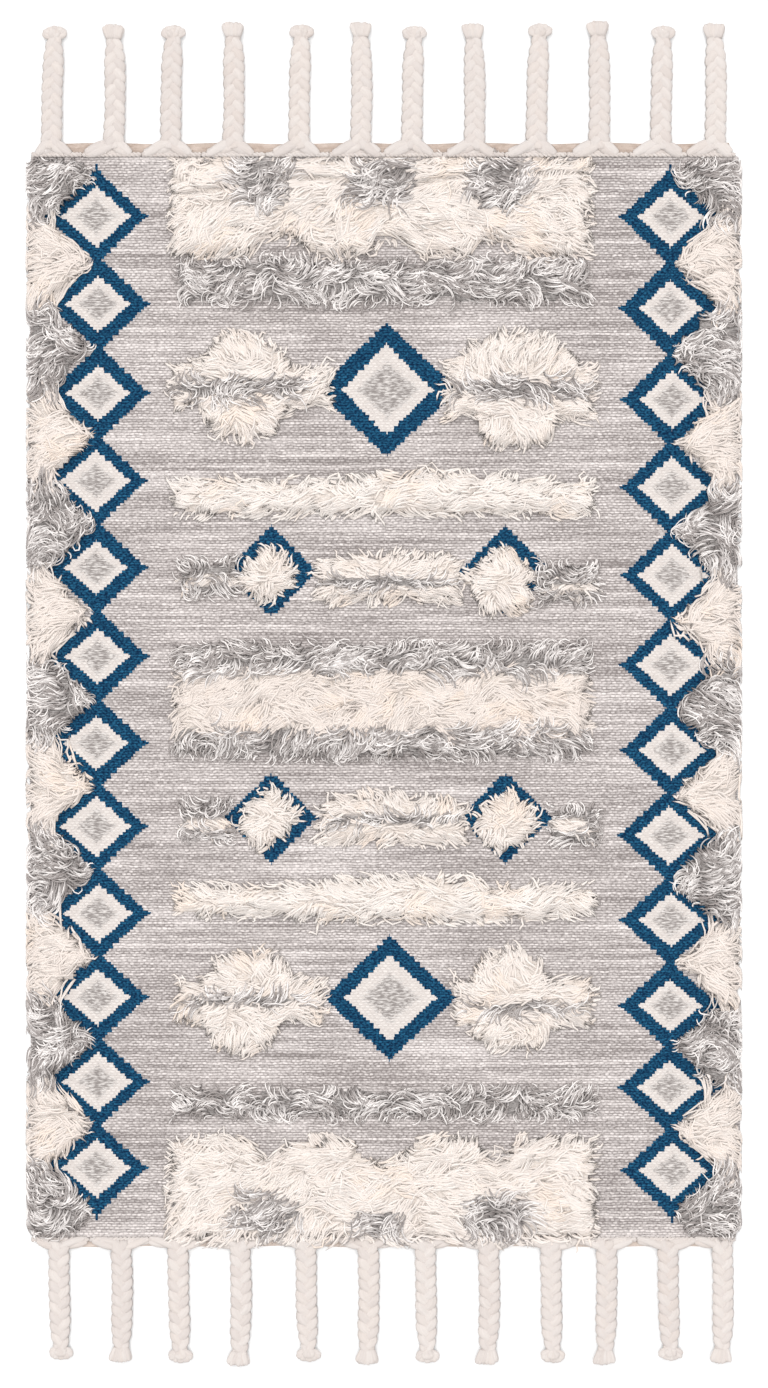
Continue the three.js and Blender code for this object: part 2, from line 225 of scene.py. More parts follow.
# The ivory wedges' strands are painted darker by this, as painted shade
WEDGE_SHADE = 0.4
WEDGE_ROOT_INSET = 3

# How the wedges' strands lie, in degrees: the fan over the sides and its sharper turn at them
WEDGE_FAN = 18
WEDGE_FAN_TURN = 100
WEDGE_SWAY = 16
WEDGE_DROOP = -8

# The shag: a low bed of packed roots, and the strands laid over it
BED_INSET = 7
BED_SHOULDER = 24
BED_CELL = 9
BED_LUMP = 0.22
BED_SUNK = 0.5
RAGGED = 4.5
ROOT_INSET = 5
ROOT_JITTER = 1.6
PATCH_REACH = 60
BLOB_RAGGED = (0.75, 1.2)
SIDE_LIMIT = GROUND_HALF_WIDTH - 8
SIDE_GIVE = 13

# The slow drifts that make the pile uneven: how long each is, and its seed
RAGGED_DRIFT = (34, 9)
WEDGE_DRIFT = (0.8 * RAGGED_DRIFT[0], 10)
LUMP_DRIFT = (62, 3)
LOCK_COLUMN_DRIFT = (31, 11)
LOCK_ROW_DRIFT = (37, 12)
MINGLE_DRIFT = (150, 7)
SLANT_DRIFT = (100, 8)
SWAY_DRIFT = (120, 8)
TURNED_DRIFT = (60, 14)
STAIN_DRIFT = (170, 21)
STAIN_PATCH_DRIFT = (75, 22)
DRIFT_WAVES = 5
DRIFT_SHORTEST = 0.7
DRIFT_LONGER = 0.2
DRIFT_RANGE = 2.6

# Strands beyond this line hang over the cord and the legs at the rug's bottom end
OVER_CORD_Y = GROUND_BOTTOM + 4
OVER_CORD_HEIGHT = 14

# How strands differ: a range, or the share that is by chance. A bend is never less than a share of
# its yarn's, and the heading is turned back by a share of it, so that the strand stays in its row.
STRAND_LENGTHS = (0.8, 1.12)
STRAND_CURLS = (0.5, 1.6)
STRAND_LIFTS = (0.6, 1)
STRAND_GIRTHS = (0.8, 1.2)
STRAND_TAPER = 0.75
LEAST_BEND = 0.45
BEND_STRAY = 0.07
BEND_BACK = 0.45
PHASE_STRAY = 0.15
LAYER_STRAY = 0.25
TONE_STRAY = 0.75

# How strands lie on the bed, each a share of its radius above it. One that reaches too far out is
# cut shorter, and left out if it still does after the last cut.
STRAND_OVERHANG = (-4, 10)
STRAND_SETBACK = 0.3
STRAND_CUTS = 3
STRAND_CUT = 0.7
CUT_SLACK = 2
ROOT_OUTSIDE = 3
STRAND_SEAT = 0.35
ROOT_SUNK = 2
TIP_SUNK = 0.6
ARCH_SPAN = 1.05
LOCK_HALF = 0.6
LOCK_WANDER = 0.35
LOCK_TABLE = (128, 256)

# A loose strand strays, curls, reaches and lifts this much more than the others
LOOSE_STRAY = 5
LOOSE_CURL = 4
LOOSE_OVERHANG = 9
LOOSE_LIFT = 2

# How field strands lie: the slant's drift in degrees, the least height over which they tilt out from
# the parting line, the most that they tilt and how it grows. The narrower a patch is against the
# mingle width, the more of its strands lie towards its left or right end.
SLANT_VARIES = 20
LEAST_TILT_HEIGHT = 8
TILT_LIMIT = 1.4
TILT_GROWTH = 1.1
MINGLE_WIDTH = 420

# The peach stain in the ivory yarn: how much of its clouds shows, and its most
STAIN_START = 0.15
STAIN_MOST = 0.5

Swell = namedtuple("Swell", "middle half rise round", defaults=(2,))
Blob = namedtuple("Blob", "x y half_x half_y")
Patch = namedtuple(
    "Patch",
    "band left right low high parting slant tilt length crest grey low_swells high_swells blobs"
    " groove shade",
    defaults=(False, (), (), (), 0, 0),
)

# A pile yarn: a strand's radius, flatness, points and share of its patch's length, the spacing of
# the roots, a lock's width and how far its tips draw together, how far the locks turn and bend,
# how far a strand strays and curls, its lift, the locks' layers and domes, the share of loose
# strands, and how much the tones differ about their middle
Yarn = namedtuple(
    "Yarn",
    "radius flat points reach spacing lock clump turn bend stray curl turns lift layers dome loose"
    " contrast light",
)
IVORY = Yarn(radius=2.2, flat=0.6, points=5, reach=1, spacing=6.1, lock=21, clump=0.35, turn=0.8,
             bend=1.3, stray=0.12, curl=0.22, turns=1.1, lift=0.5, layers=1.2, dome=0.9, loose=0.035,
             contrast=1, light=0.5)
GREY = Yarn(radius=1.35, flat=1, points=7, reach=0.8, spacing=5.7, lock=27, clump=0.1, turn=1.6,
            bend=3.0, stray=0.07, curl=0.16, turns=0.9, lift=2.2, layers=3.5, dome=2.5, loose=0.04,
            contrast=2.8, light=0.55)

# The pile's creases: how deep and how narrow they are, the most of the bed that they take, how far
# apart and how uneven they run, and where they open
CREASE_DEPTH = 8.5
CREASE_SHARPNESS = 0.13
CREASE_MOST = 0.8
CREASE_DRIFT = (105, 31)
CREASE_STRETCH = 0.5
CREASE_UNEVEN = 0.3
CREASE_UNEVEN_DRIFT = (40, 33)
CREASE_OPEN = (1.6, -0.1)
CREASE_OPEN_DRIFT = (120, 32)
GROOVE_HALF = 5

# The line along which the top band's strands part to lie up or down
TOP_PARTING = ((-360, 850), (-160, 879), (-100, 879), (-50, 873), (0, 865), (50, 870), (100, 879),
               (200, 886), (350, 889))

# Each field patch of shag: its outline, the line along which its strands part to lie up or down,
# how far their rows slant, how far the strands tilt from that to the patch's edges in degrees,
# their length and the bed's height. A swell moves an edge out, or in where it is negative, and a
# blob is a patch of the other yarn. A groove is how deep the parting line is, and a shade is painted
# shade that makes the ivory strands darker, or painted light that makes them lighter where it is
# negative.
FIELD = (
    Patch("top_band", -368, 358, 742, 921, TOP_PARTING, 14, 52, 58, 18, groove=12,
          low_swells=(Swell(-178, 50, -34), Swell(14, 38, -26), Swell(190, 34, -28)),
          blobs=(Blob(-205, 874, 52, 45), Blob(0, 872, 60, 42), Blob(195, 870, 52, 46))),
    Patch("top_grey", -360, 356, 662, 742, ((0, 706),), 10, 60, 58, 15, grey=True,
          high_swells=(Swell(-170, 60, 10), Swell(200, 50, 6))),
    Patch("upper_crosses", -368, -84, 482, 562, ((0, 522),), 16, 40, 50, 15,
          low_swells=(Swell(-239, 70, 56, 2.2),),
          high_swells=(Swell(-232, 74, 54, 1.9), Swell(-300, 60, 14)),
          blobs=(Blob(-246, 522, 120, 18),)),
    Patch("upper_crosses", 100, 366, 461, 564, ((0, 520),), -6, 40, 50, 15,
          low_swells=(Swell(225, 70, 48, 2.4),), high_swells=(Swell(226, 112, 62, 1.6),),
          blobs=(Blob(240, 520, 120, 18),)),
    Patch("upper_stripe", -366, 364, 299, 368, ((0, 332),), 8, 34, 50, 17, shade=-0.35,
          low_swells=(Swell(-118, 10, -16, 1.2),), high_swells=(Swell(90, 160, 14), Swell(-240, 50, 6))),
    Patch("upper_row", -354, -246, 162, 234, ((0, 206),), 10, 60, 44, 14, grey=True,
          blobs=(Blob(-292, 193, 60, 7),)),
    Patch("upper_row", -252, -148, 184, 216, ((0, 200),), 8, 40, 40, 16,
          low_swells=(Swell(-204, 50, 32, 1.5),), high_swells=(Swell(-197, 50, 45, 1.15),)),
    Patch("upper_row", -122, 136, 150, 228, ((0, 192),), 8, 50, 36, 15,
          high_swells=(Swell(10, 120, 18),), blobs=(Blob(0, 188, 125, 9),)),
    Patch("upper_row", 130, 260, 174, 208, ((0, 192),), 12, 45, 44, 17,
          low_swells=(Swell(206, 58, 46, 2.2),), high_swells=(Swell(203, 57, 50, 1.15),)),
    Patch("upper_row", 256, 372, 152, 224, ((0, 190),), -10, 60, 44, 14, grey=True,
          blobs=(Blob(322, 180, 48, 8),)),
    Patch("middle_band", -362, 356, -110, 90, ((0, 88),), 14, 48, 56, 19, shade=0.5,
          low_swells=(Swell(60, 300, 6),), blobs=(Blob(0, 72, 2000, 36), Blob(0, -96, 2000, 34))),
    Patch("lower_row", -352, -254, -256, -180, ((0, -216),), -12, 60, 44, 14, grey=True,
          blobs=(Blob(-300, -222, 50, 7),)),
    Patch("lower_row", -250, -140, -234, -198, ((0, -214),), 8, 40, 38, 16,
          low_swells=(Swell(-206, 50, 40, 1.2),), high_swells=(Swell(-192, 53, 45, 1.15),)),
    Patch("lower_row", -118, 146, -262, -186, ((0, -222),), 8, 50, 36, 15,
          high_swells=(Swell(0, 125, 20),), blobs=(Blob(5, -217, 130, 9),)),
    Patch("lower_row", 150, 268, -240, -198, ((0, -216),), 12, 45, 40, 16,
          low_swells=(Swell(203, 50, 38, 1.4),), high_swells=(Swell(214, 54, 36, 1.15),)),
    Patch("lower_row", 282, 370, -264, -190, ((0, -228),), -10, 60, 44, 14, grey=True,
          blobs=(Blob(318, -226, 34, 12),)),
    Patch("lower_stripe", -358, 364, -385, -323, ((0, -352),), 8, 34, 50, 17, shade=-0.35,
          low_swells=(Swell(60, 260, 8),), high_swells=(Swell(30, 150, 16),)),
    Patch("lower_crosses", -360, -94, -566, -486, ((0, -520),), 16, 40, 50, 15,
          low_swells=(Swell(-242, 66, 54, 2.2),), high_swells=(Swell(-230, 78, 52, 2),),
          blobs=(Blob(-235, -524, 105, 9),)),
    Patch("lower_crosses", 116, 362, -574, -484, ((0, -534),), -6, 40, 50, 15,
          low_swells=(Swell(218, 68, 40, 2.2),), high_swells=(Swell(214, 66, 54, 2),),
          blobs=(Blob(240, -536, 100, 8),)),
    Patch("bottom_grey", -362, 364, -728, -670, ((0, -682),), 0, 66, 58, 15, grey=True),
    Patch("bottom_band", -372, 366, -940, -754, ((0, -800),), 12, 52, 58, 17,
          high_swells=(Swell(-193, 30, -30), Swell(-2, 48, -42), Swell(192, 30, -36)),
          blobs=(Blob(-198, -887, 54, 36), Blob(-4, -902, 42, 24), Blob(192, -888, 58, 38))),
)

# The headings, woven strips with a crown and fine ripples, that the plaits are tied over
HEADING_HALF_LENGTH = GROUND_HALF_WIDTH - 16
HEADING_COLUMNS = 236
HEADING_ROWS = 8
HEADING_THICKNESS = 4
HEADING_WAVE = 1.2
HEADING_WAVE_LENGTH = 34
HEADING_CROWN = 0.8
HEADING_RIPPLE = 0.25
HEADING_RIPPLE_LENGTH = 7
HEADING_FLOAT = 4.6
HEADING_PICK = 3.4
GAP = 0.3

# The plaits' three strands, which start narrow on the heading and end at a neck
PLAIT_START_TOP = 941.3
PLAIT_START_BOTTOM = 946.3
PLAIT_STRANDS = 3
PLAIT_AMPLITUDE = 10.3
PLAIT_DEPTH = 2.8
PLAIT_STRAND_RADIUS = 8.7
PLAIT_FLATNESS = 0.75
PLAIT_PERIOD = 54
PLAIT_STEP = 3.8
PLAIT_MIDDLE_HEIGHT = 9.6
PLAIT_TUCK = 11
PLAIT_ROOT_WIDTH = 0.5
PLAIT_NECK = 30
PLAIT_NECK_WIDTH = 0.62
PLAIT_NECK_FATNESS = 0.6
PLAIT_NECK_SLACK = 6
PLAIT_NARROWING = 48
PLAIT_CUT = 16
PLAIT_UNEVEN = 0.05
PLAIT_UNEVEN_LENGTH = 17

# A plait's legs: how far each reaches, how much further the left one does, how far they come down
# on the heading, and the radius of a ply
Legs = namedtuple("Legs", "reach lean fall ply")
TOP_LEGS = Legs(40, 7, 22, 9)
BOTTOM_LEGS = Legs(49, 2, 15, 6.8)
LEG_END = GROUND_HALF_WIDTH - 12
LEG_POINTS = 15
LEG_REACHES = (0.94, 1.08)
LEG_ROOT_X = 1
LEG_ROOT_Y = 3
LEG_TOE_RISE = 2
LEG_HEIGHT = 10.5
LEG_DROP = 3
LEG_TWIST = 0.4
LEG_PLY_OFFSET = 4
LEG_PLY_HEIGHT = 0.5
LEG_FLATNESS = 0.8

# A leg's thickness follows this stretch of a half wave from its root to its toe
LEG_WAVE_START = 0.24
LEG_WAVE_RUN = 0.65
LEG_ROUNDNESS = 0.6

# The knot below the plait's root, where its legs part
KNOT_X = -2
KNOT_HALF = 15
KNOT_LIFT = 6
KNOT_HEIGHT = 8.5
KNOT_RADIUS = 4.6
KNOT_ENDS = (0.06, 0.94)

# The cord of two plies along each heading's inner edge
CORD_END = GROUND_HALF_WIDTH - 5
CORD_POINTS = 30
CORD_RADIUS = 2.7
CORD_PITCH = 15
CORD_PLY_OFFSET = 0.8
CORD_PLY_HEIGHT = 0.7
CORD_LIFT = 1.8
CORD_RISE = 1

# A plait's tip: its lobes, the points along one, and where each starts to round off
TIP_ROLLS = 22
TIP_RADIUS = 5
TIP_GIRTHS = (0.85, 1.15)
TIP_POINTS = (0, 0.3, 0.55, 0.75, 0.88, 0.96, 1)
TIP_ROUNDING = 0.55
TIP_NECK = 4
TIP_HEIGHT = 9.5
TIP_LEAST_HEIGHT = 5

# A knob: the sweep of its lobes in degrees, its half width, length and bulge, the lift of its inner
# lobes and of the others, and how fat a lobe is at its root and how much fatter at its end
KNOB_START = -35
KNOB_SWEEP = 250
KNOB_STRAY = (0.2, 0.8)
KNOB_REACHES = (0.92, 1.05)
KNOB_INNER_REACH = 0.45
KNOB_HALF_WIDTH = 20.5
KNOB_OFFSET = 1
KNOB_LENGTH = 13
KNOB_BULGE = 10.5
KNOB_LIFTS = (4, -0.5)
KNOB_FAT = (0.7, 0.7)

# A brush: half its width and how much it flares, its length, how much shorter it is at its sides and
# by chance, the lift of every second lobe and of the others, and how fat a lobe is
BRUSH_HALF_WIDTH = 9
BRUSH_FLARE = 8
BRUSH_STRAY = 0.06
BRUSH_LENGTH = 26
BRUSH_ARCH = 2.5
BRUSH_UNEVEN = 4
BRUSH_LIFTS = (3.5, -1.5)
BRUSH_LIFT_START = 0.6
BRUSH_FAT = (0.9, 0.15)

# How far a strand's first side is turned, as a share of a side, and the number of sides of a strand
# of pile, of a plait's strand or leg, of the cord and of a lobe
SIDE_TURN = 0.25
PILE_SIDES = 3
PLAIT_SIDES = 8
CORD_SIDES = 5
TIP_SIDES = 7

Plait = namedtuple("Plait", "root middle tip end")
TOP_PLAITS = (
    Plait(-568, -566, -562, 1142), Plait(-462, -459, -463, 1144), Plait(-364, -363, -359, 1143),
    Plait(-258, -256, -259, 1148), Plait(-145, -144, -140, 1144), Plait(-40, -38, -41, 1148),
    Plait(48, 49, 53, 1142), Plait(154, 155, 151, 1145), Plait(260, 262, 267, 1146),
    Plait(367, 368, 364, 1150), Plait(473, 474, 478, 1142), Plait(565, 567, 563, 1146),
)
BOTTOM_PLAITS = (
    Plait(-555, -554, -551, 1140), Plait(-449, -447, -451, 1143), Plait(-352, -350, -347, 1145),
    Plait(-246, -244, -249, 1150), Plait(-133, -132, -128, 1143), Plait(-27, -26, -30, 1147),
    Plait(71, 72, 75, 1145), Plait(178, 180, 175, 1147), Plait(285, 286, 289, 1145),
    Plait(380, 380, 376, 1148), Plait(485, 486, 490, 1141), Plait(577, 579, 575, 1145),
)

# The floor, half as wide as this in metres, and how far it lies below the rug
FLOOR_HALF = 40
FLOOR_DROP = 0.5
FLOOR_WHITE = (0.95, 0.95, 0.95, 1)

# The studio's light. A sun's spread and turn are in degrees.
DOME_STRENGTH = 0.6
Sun = namedtuple("Sun", "strength spread turned")
OVERHEAD_SUN = Sun(2, 55, (0, 0, 0))
KEY_SUN = Sun(0.75, 14, (-45, -14, 0))

# The photograph's frame, in millimetres on the floor, and the camera straight above it
FRAME_LENGTH = 2373
FRAME_MIDDLE_Y = -0.9
LENS = 120
SENSOR = 36


def colour(red, green, blue):
    """A colour given from 0 to 255 a channel, as the linear one that a shader takes."""
    channels = [value / 255 for value in (red, green, blue)]
    return tuple(c / 12.92 if c < 0.04045 else ((c + 0.055) / 1.055) ** 2.4 for c in channels) + (1,)


class Finish:
    """A material, with short names for the nodes that pattern it."""

    def __init__(self, name, roughness=WOOL_ROUGHNESS, gloss=WOOL_GLOSS):
        self.material = bpy.data.materials.new(name)
        self.material.use_nodes = True
        self.nodes = self.material.node_tree.nodes
        self.links = self.material.node_tree.links
        self.shader = self.nodes["Principled BSDF"]
        self.shader.inputs["Roughness"].default_value = roughness
        self.shader.inputs["Specular IOR Level"].default_value = gloss

    def feed(self, socket, value):
        if isinstance(value, bpy.types.NodeSocket):
            self.links.new(value, socket)
        else:
            socket.default_value = value

    def math(self, operation, *values):
        node = self.nodes.new("ShaderNodeMath")
        node.operation = operation
        for socket, value in zip(node.inputs, values):
            self.feed(socket, value)
        return node.outputs[0]

    def add(self, *values):
        total = values[0]
        for value in values[1:]:
            total = self.math("ADD", total, value)
        return total

    def times(self, a, b):
        return self.math("MULTIPLY", a, b)

    def limit(self, value):
        return self.math("MINIMUM", self.math("MAXIMUM", value, 0), 1)

    def mix(self, share, first, second):
        node = self.nodes.new("ShaderNodeMix")
        node.data_type = "RGBA"
        self.feed(node.inputs["Factor"], share)
        for name, value in (("A", first), ("B", second)):
            self.feed([s for s in node.inputs if s.name == name and s.type == "RGBA"][0], value)
        return [s for s in node.outputs if s.type == "RGBA"][0]

    def between(self, share, shades):
        """A colour from the first of two shades to the second."""
        return self.mix(share, *(colour(*shade) for shade in shades))

    def tone(self, weights, *parts):
        """A share from 0 to 1: a start, and each part of a pattern times its weight."""
        start, *weights = weights
        return self.limit(self.add(*map(self.times, parts, weights), start))

    def vector(self, x, y, z=0.0):
        node = self.nodes.new("ShaderNodeCombineXYZ")
        for socket, value in zip(node.inputs, (x, y, z)):
            self.feed(socket, value)
        return node.outputs[0]

    def split(self, vector):
        node = self.nodes.new("ShaderNodeSeparateXYZ")
        self.links.new(vector, node.inputs[0])
        return node.outputs[:]

    def noise(self, vector, detail):
        node = self.nodes.new("ShaderNodeTexNoise")
        node.inputs["Scale"].default_value = 1.0
        node.inputs["Detail"].default_value = detail
        self.links.new(vector, node.inputs["Vector"])
        return node.outputs[0]

    def grain(self, kind, along, across, over=None):
        """A pattern by chance over two directions, or three where it fills a strand."""
        places = [self.times(along, kind.along), self.times(across, kind.across)]
        if over is not None:
            places.append(self.times(over, kind.across))
        return self.noise(self.vector(*places), kind.detail)

    def scatter(self, vector):
        node = self.nodes.new("ShaderNodeTexWhiteNoise")
        node.noise_dimensions = "3D"
        self.links.new(vector, node.inputs["Vector"])
        return node.outputs["Value"]

    def stray(self, vector, most):
        """A number by chance, from half the most below nought to half of it above."""
        return self.times(self.add(self.scatter(vector), -0.5), most)

    def place(self):
        """The point's x, y and z in millimetres."""
        texture = self.nodes.new("ShaderNodeTexCoord")
        return [self.times(axis, 1 / MM) for axis in self.split(texture.outputs["Object"])]

    def attribute(self, name):
        node = self.nodes.new("ShaderNodeAttribute")
        node.attribute_name = name
        return self.split(node.outputs["Vector"])

    def paint(self, value):
        self.feed(self.shader.inputs["Base Color"], value)

    def upward(self, share):
        """The surface's direction turned up by a share, as light seeps through loose wool."""
        normal = self.nodes.new("ShaderNodeNewGeometry").outputs["Normal"]
        lifted = self.nodes.new("ShaderNodeVectorMath")
        lifted.operation = "MULTIPLY_ADD"
        self.links.new(normal, lifted.inputs[0])
        lifted.inputs[1].default_value = (1 - share, 1 - share, 1 - share)
        lifted.inputs[2].default_value = (0, 0, share)
        unit = self.nodes.new("ShaderNodeVectorMath")
        unit.operation = "NORMALIZE"
        self.links.new(lifted.outputs[0], unit.inputs[0])
        return unit.outputs[0]

    def bump(self, height, distance, upward=0.0):
        node = self.nodes.new("ShaderNodeBump")
        node.inputs["Distance"].default_value = distance * MM
        self.links.new(height, node.inputs["Height"])
        if upward:
            self.links.new(self.upward(upward), node.inputs["Normal"])
        self.links.new(node.outputs["Normal"], self.shader.inputs["Normal"])


def weave_cells(wool, x, y, float_length, pick):
    """A plain weave's floats: a random share for each, its row, its height and how near the row's edge."""
    rows = wool.add(wool.math("DIVIDE", y, pick), wool.times(wool.grain(ROW_WAVE, x, y), ROW_WANDER))
    row = wool.math("FLOOR", rows)
    up = wool.math("FRACT", rows)
    every_second = wool.times(wool.math("FLOORED_MODULO", row, 2), 0.5)
    by_chance = wool.times(wool.scatter(wool.vector(row, FLOAT_SEED)), FLOAT_SHIFT)
    shift = wool.add(every_second, by_chance, wool.grain(FLOAT_DRIFT, x, row))
    columns = wool.add(wool.math("DIVIDE", x, float_length), shift)
    fleck = wool.scatter(wool.vector(wool.math("FLOOR", columns), row))
    across = wool.add(wool.math("FRACT", columns), -0.5)
    level = wool.add(up, -0.5)
    round_x = wool.add(1, wool.times(wool.math("POWER", wool.math("ABSOLUTE", across), 3), -8))
    round_y = wool.add(1, wool.times(wool.times(level, level), -4))
    share = wool.math("MAXIMUM", wool.times(round_x, round_y), 0)
    height = wool.times(wool.times(share, share), wool.add(3, wool.times(share, -2)))
    return fleck, row, height, wool.times(wool.times(level, level), 4)


def inside_lozenge(wool, across, up, half_width, half_height, spike):
    """How far a point lies inside a stair-stepped diamond, in millimetres along the weft."""
    rise = wool.math("ABSOLUTE", up)
    stairs = wool.math("DIVIDE", rise, STAIR)
    step = wool.math("FLOOR", stairs)
    fall = wool.math("DIVIDE", wool.times(half_width, STAIR), half_height)
    width = wool.math("SUBTRACT", half_width, wool.times(fall, wool.add(step, 0.5)))
    notch = wool.times(wool.math("LESS_THAN", wool.math("FRACT", stairs), 0.5), TOOTH)
    half_step = wool.math("FLOOR", wool.times(up, 2 / STAIR))
    uneven = wool.stray(wool.vector(half_step, wool.math("SIGN", across)), STEP_STRAY)
    side_tip = wool.times(wool.math("LESS_THAN", rise, PICK * 0.5), spike)
    reach = wool.add(width, notch, uneven, -TOOTH / 3, side_tip)
    return wool.math("SUBTRACT", reach, wool.math("ABSOLUTE", across))


def nearest_border_diamond(wool, x, y):
    """The number and side of the nearest border diamond, and the point's place from its middle."""
    side = wool.math("SIGN", x)
    down = wool.math("SUBTRACT", FIRST_DIAMOND_Y, y)
    share = wool.limit(wool.times(down, 1 / DIAMOND_SPAN))
    sink, tail = (wool.add(wool.times(side, (right - left) / 2), (left + right) / 2)
                  for left, right in (ROW_SINK, ROW_TAIL))
    sink = wool.times(sink, wool.math("SINE", wool.times(share, math.pi)))
    rows_down = wool.add(down, wool.times(sink, -1), wool.times(wool.times(tail, share), -1))
    rows_down = wool.times(rows_down, 1 / DIAMOND_PITCH)
    nearest = wool.math("MAXIMUM", wool.math("ROUND", rows_down), 0)
    nearest = wool.math("MINIMUM", nearest, DIAMOND_ROWS - 1)
    up = wool.times(wool.math("SUBTRACT", nearest, rows_down), DIAMOND_PITCH)
    up = wool.add(up, wool.stray(wool.vector(nearest, side), DIAMOND_SHIFT))
    across = wool.add(wool.math("ABSOLUTE", x), -DIAMOND_COLUMN_X)
    across = wool.add(across, wool.stray(wool.vector(side, nearest), DIAMOND_SHIFT))
    return nearest, side, across, up


def ground_weave():
    """Heathered grey plain weave, with the stair-stepped blue and off-white diamonds."""
    wool = Finish("grey_weave")
    x, y, _ = wool.place()
    fleck, row, height, edge = weave_cells(wool, x, y, FLOAT_LENGTH, PICK)
    # Light flecks of the heathered weft, with a painted highlight on each float's crown
    fleck_and_float_highlight = wool.times(height, wool.times(fleck, fleck))
    # Painted shade along the seams between rows, strongest at the rows' edges
    open_seam_shade = wool.tone(SEAM_SHADE_TONE, wool.grain(SEAM_SHADE_GRAIN, x, row))
    seam_shade = wool.times(wool.times(edge, edge), open_seam_shade)
    stroke = wool.grain(STROKE, x, y)
    streak = wool.grain(STREAK, x, row)
    cloud = wool.grain(CLOUD, x, y)
    # Lighter rows at both ends, partly painted light against the shadow of the cord
    from_middle = wool.math("ABSOLUTE", wool.add(y, -GROUND_MIDDLE))
    past_light_end = wool.add(from_middle, LIGHT_END - GROUND_TOP + GROUND_MIDDLE)
    end_row_and_painted_light = wool.limit(wool.times(past_light_end, 1 / LIGHT_END_FADE))
    # The ribs part paints each float lighter on its crown and darker at its edges, as painted light and
    # shade
    shade = wool.tone(GROUND_TONE, height, fleck_and_float_highlight, seam_shade, stroke, streak, cloud, end_row_and_painted_light)
    grey = wool.between(shade, GREY_WEFT)
    # A painted highlight on each float's crown, varied by the float's fleck
    float_highlight = wool.times(height, wool.add(wool.times(fleck, HIGHLIGHT_FLECK), 1 - HIGHLIGHT_FLECK))
    speckle = wool.grain(SPECKLE, x, y)
    dash = wool.grain(DASH, x, y)
    blue = wool.between(wool.tone(BLUE_TONE, speckle, float_highlight), BLUE_WEFT)
    white = wool.between(wool.tone(WHITE_TONE, speckle, float_highlight), WHITE_WEFT)
    core_yarn = wool.between(wool.tone(CORE_TONE, dash, float_highlight), CORE_WEFT)

    def lay(base, across, up, outline, inside, core):
        layers = [(outline, blue, OUTLINE_SPIKE, 0), (inside, white, INSIDE_SPIKE, 0)]
        if core:
            layers.append((core, core_yarn, 0, CORE_RAG))
        for (half_width, half_height), yarn, spike, rag in layers:
            depth = inside_lozenge(wool, across, up, half_width, half_height, spike)
            if rag:
                depth = wool.add(depth, wool.times(wool.add(dash, -0.5), rag))
            base = wool.mix(wool.math("GREATER_THAN", depth, 0), base, yarn)
        return base

    nearest, side, across, up = nearest_border_diamond(wool, x, y)
    varied = wool.stray(wool.vector(nearest, side, 3), INSIDE_VARIES)
    inside = [wool.add(half, varied) for half in BORDER_INSIDE]
    base = lay(grey, across, up, BORDER_OUTLINE, inside, BORDER_CORE)
    from_axis = wool.math("ABSOLUTE", across)
    from_waist = wool.math("SUBTRACT", DIAMOND_PITCH / 2, wool.math("ABSOLUTE", up))
    from_waist = wool.math("ABSOLUTE", from_waist)
    waist, thorn = (wool.times(wool.math("LESS_THAN", from_axis, half_width),
                               wool.math("LESS_THAN", from_waist, half_height))
                    for half_width, half_height in (WAIST, THORN))
    base = wool.mix(wool.math("MAXIMUM", waist, thorn), base, blue)
    for diamond in LARGE_DIAMONDS:
        across, up = wool.add(x, -diamond.x), wool.add(y, -diamond.y)
        base = lay(base, across, up, diamond.outline, diamond.inside, diamond.core)
    centre_x, centre_y = SMALL_CENTRE
    across = wool.add(wool.math("ABSOLUTE", wool.add(x, -centre_x)), -SMALL_DIAMOND.x)
    up = wool.add(wool.math("ABSOLUTE", wool.add(y, -centre_y)), -SMALL_DIAMOND.y)
    base = lay(base, across, up, SMALL_DIAMOND.outline, SMALL_DIAMOND.inside, SMALL_DIAMOND.core)
    wool.paint(base)
    wool.bump(height, GROUND_BUMP)
    return wool.material


def heading_weave():
    """A plain weave of beige yarn, with painted shade that makes it darker at the rug's top end."""
    wool = Finish("heading_weave")
    x, y, _ = wool.place()
    fleck, _, height, _ = weave_cells(wool, x, y, HEADING_FLOAT, HEADING_PICK)
    # Painted shade over the heading at the rug's top end
    painted_shade_at_top = wool.math("GREATER_THAN", y, 0)
    cloud = wool.grain(HEADING_CLOUD, x, y)
    shade = wool.tone(HEADING_TONE, fleck, cloud, painted_shade_at_top)
    wool.paint(wool.between(shade, BEIGE_WEFT))
    wool.bump(height, HEADING_BUMP)
    return wool.material


def pile_wool(name, shades):
    """Pile yarn. Each strand has its own tone, is painted darker by its root as shade among the strands,
    and may carry a stain.
    """
    wool = Finish(name)
    tone, from_root, stained = wool.attribute("yarn")
    fibres = wool.grain(PILE_FIBRE, *wool.attribute("fibre"))
    root, dark, light, stain = (colour(*shade) for shade in shades[:4])
    yarn = wool.mix(wool.tone(PILE_TONE, tone, fibres), dark, light)
    yarn = wool.mix(stained, yarn, stain)
    # Painted shade at each strand's root, which fades along it
    wool.paint(wool.mix(wool.limit(wool.times(from_root, PILE_ROOT_SHADE_FADE)), root, yarn))
    wool.bump(fibres, PILE_BUMP, shades.upward)
    return wool.material


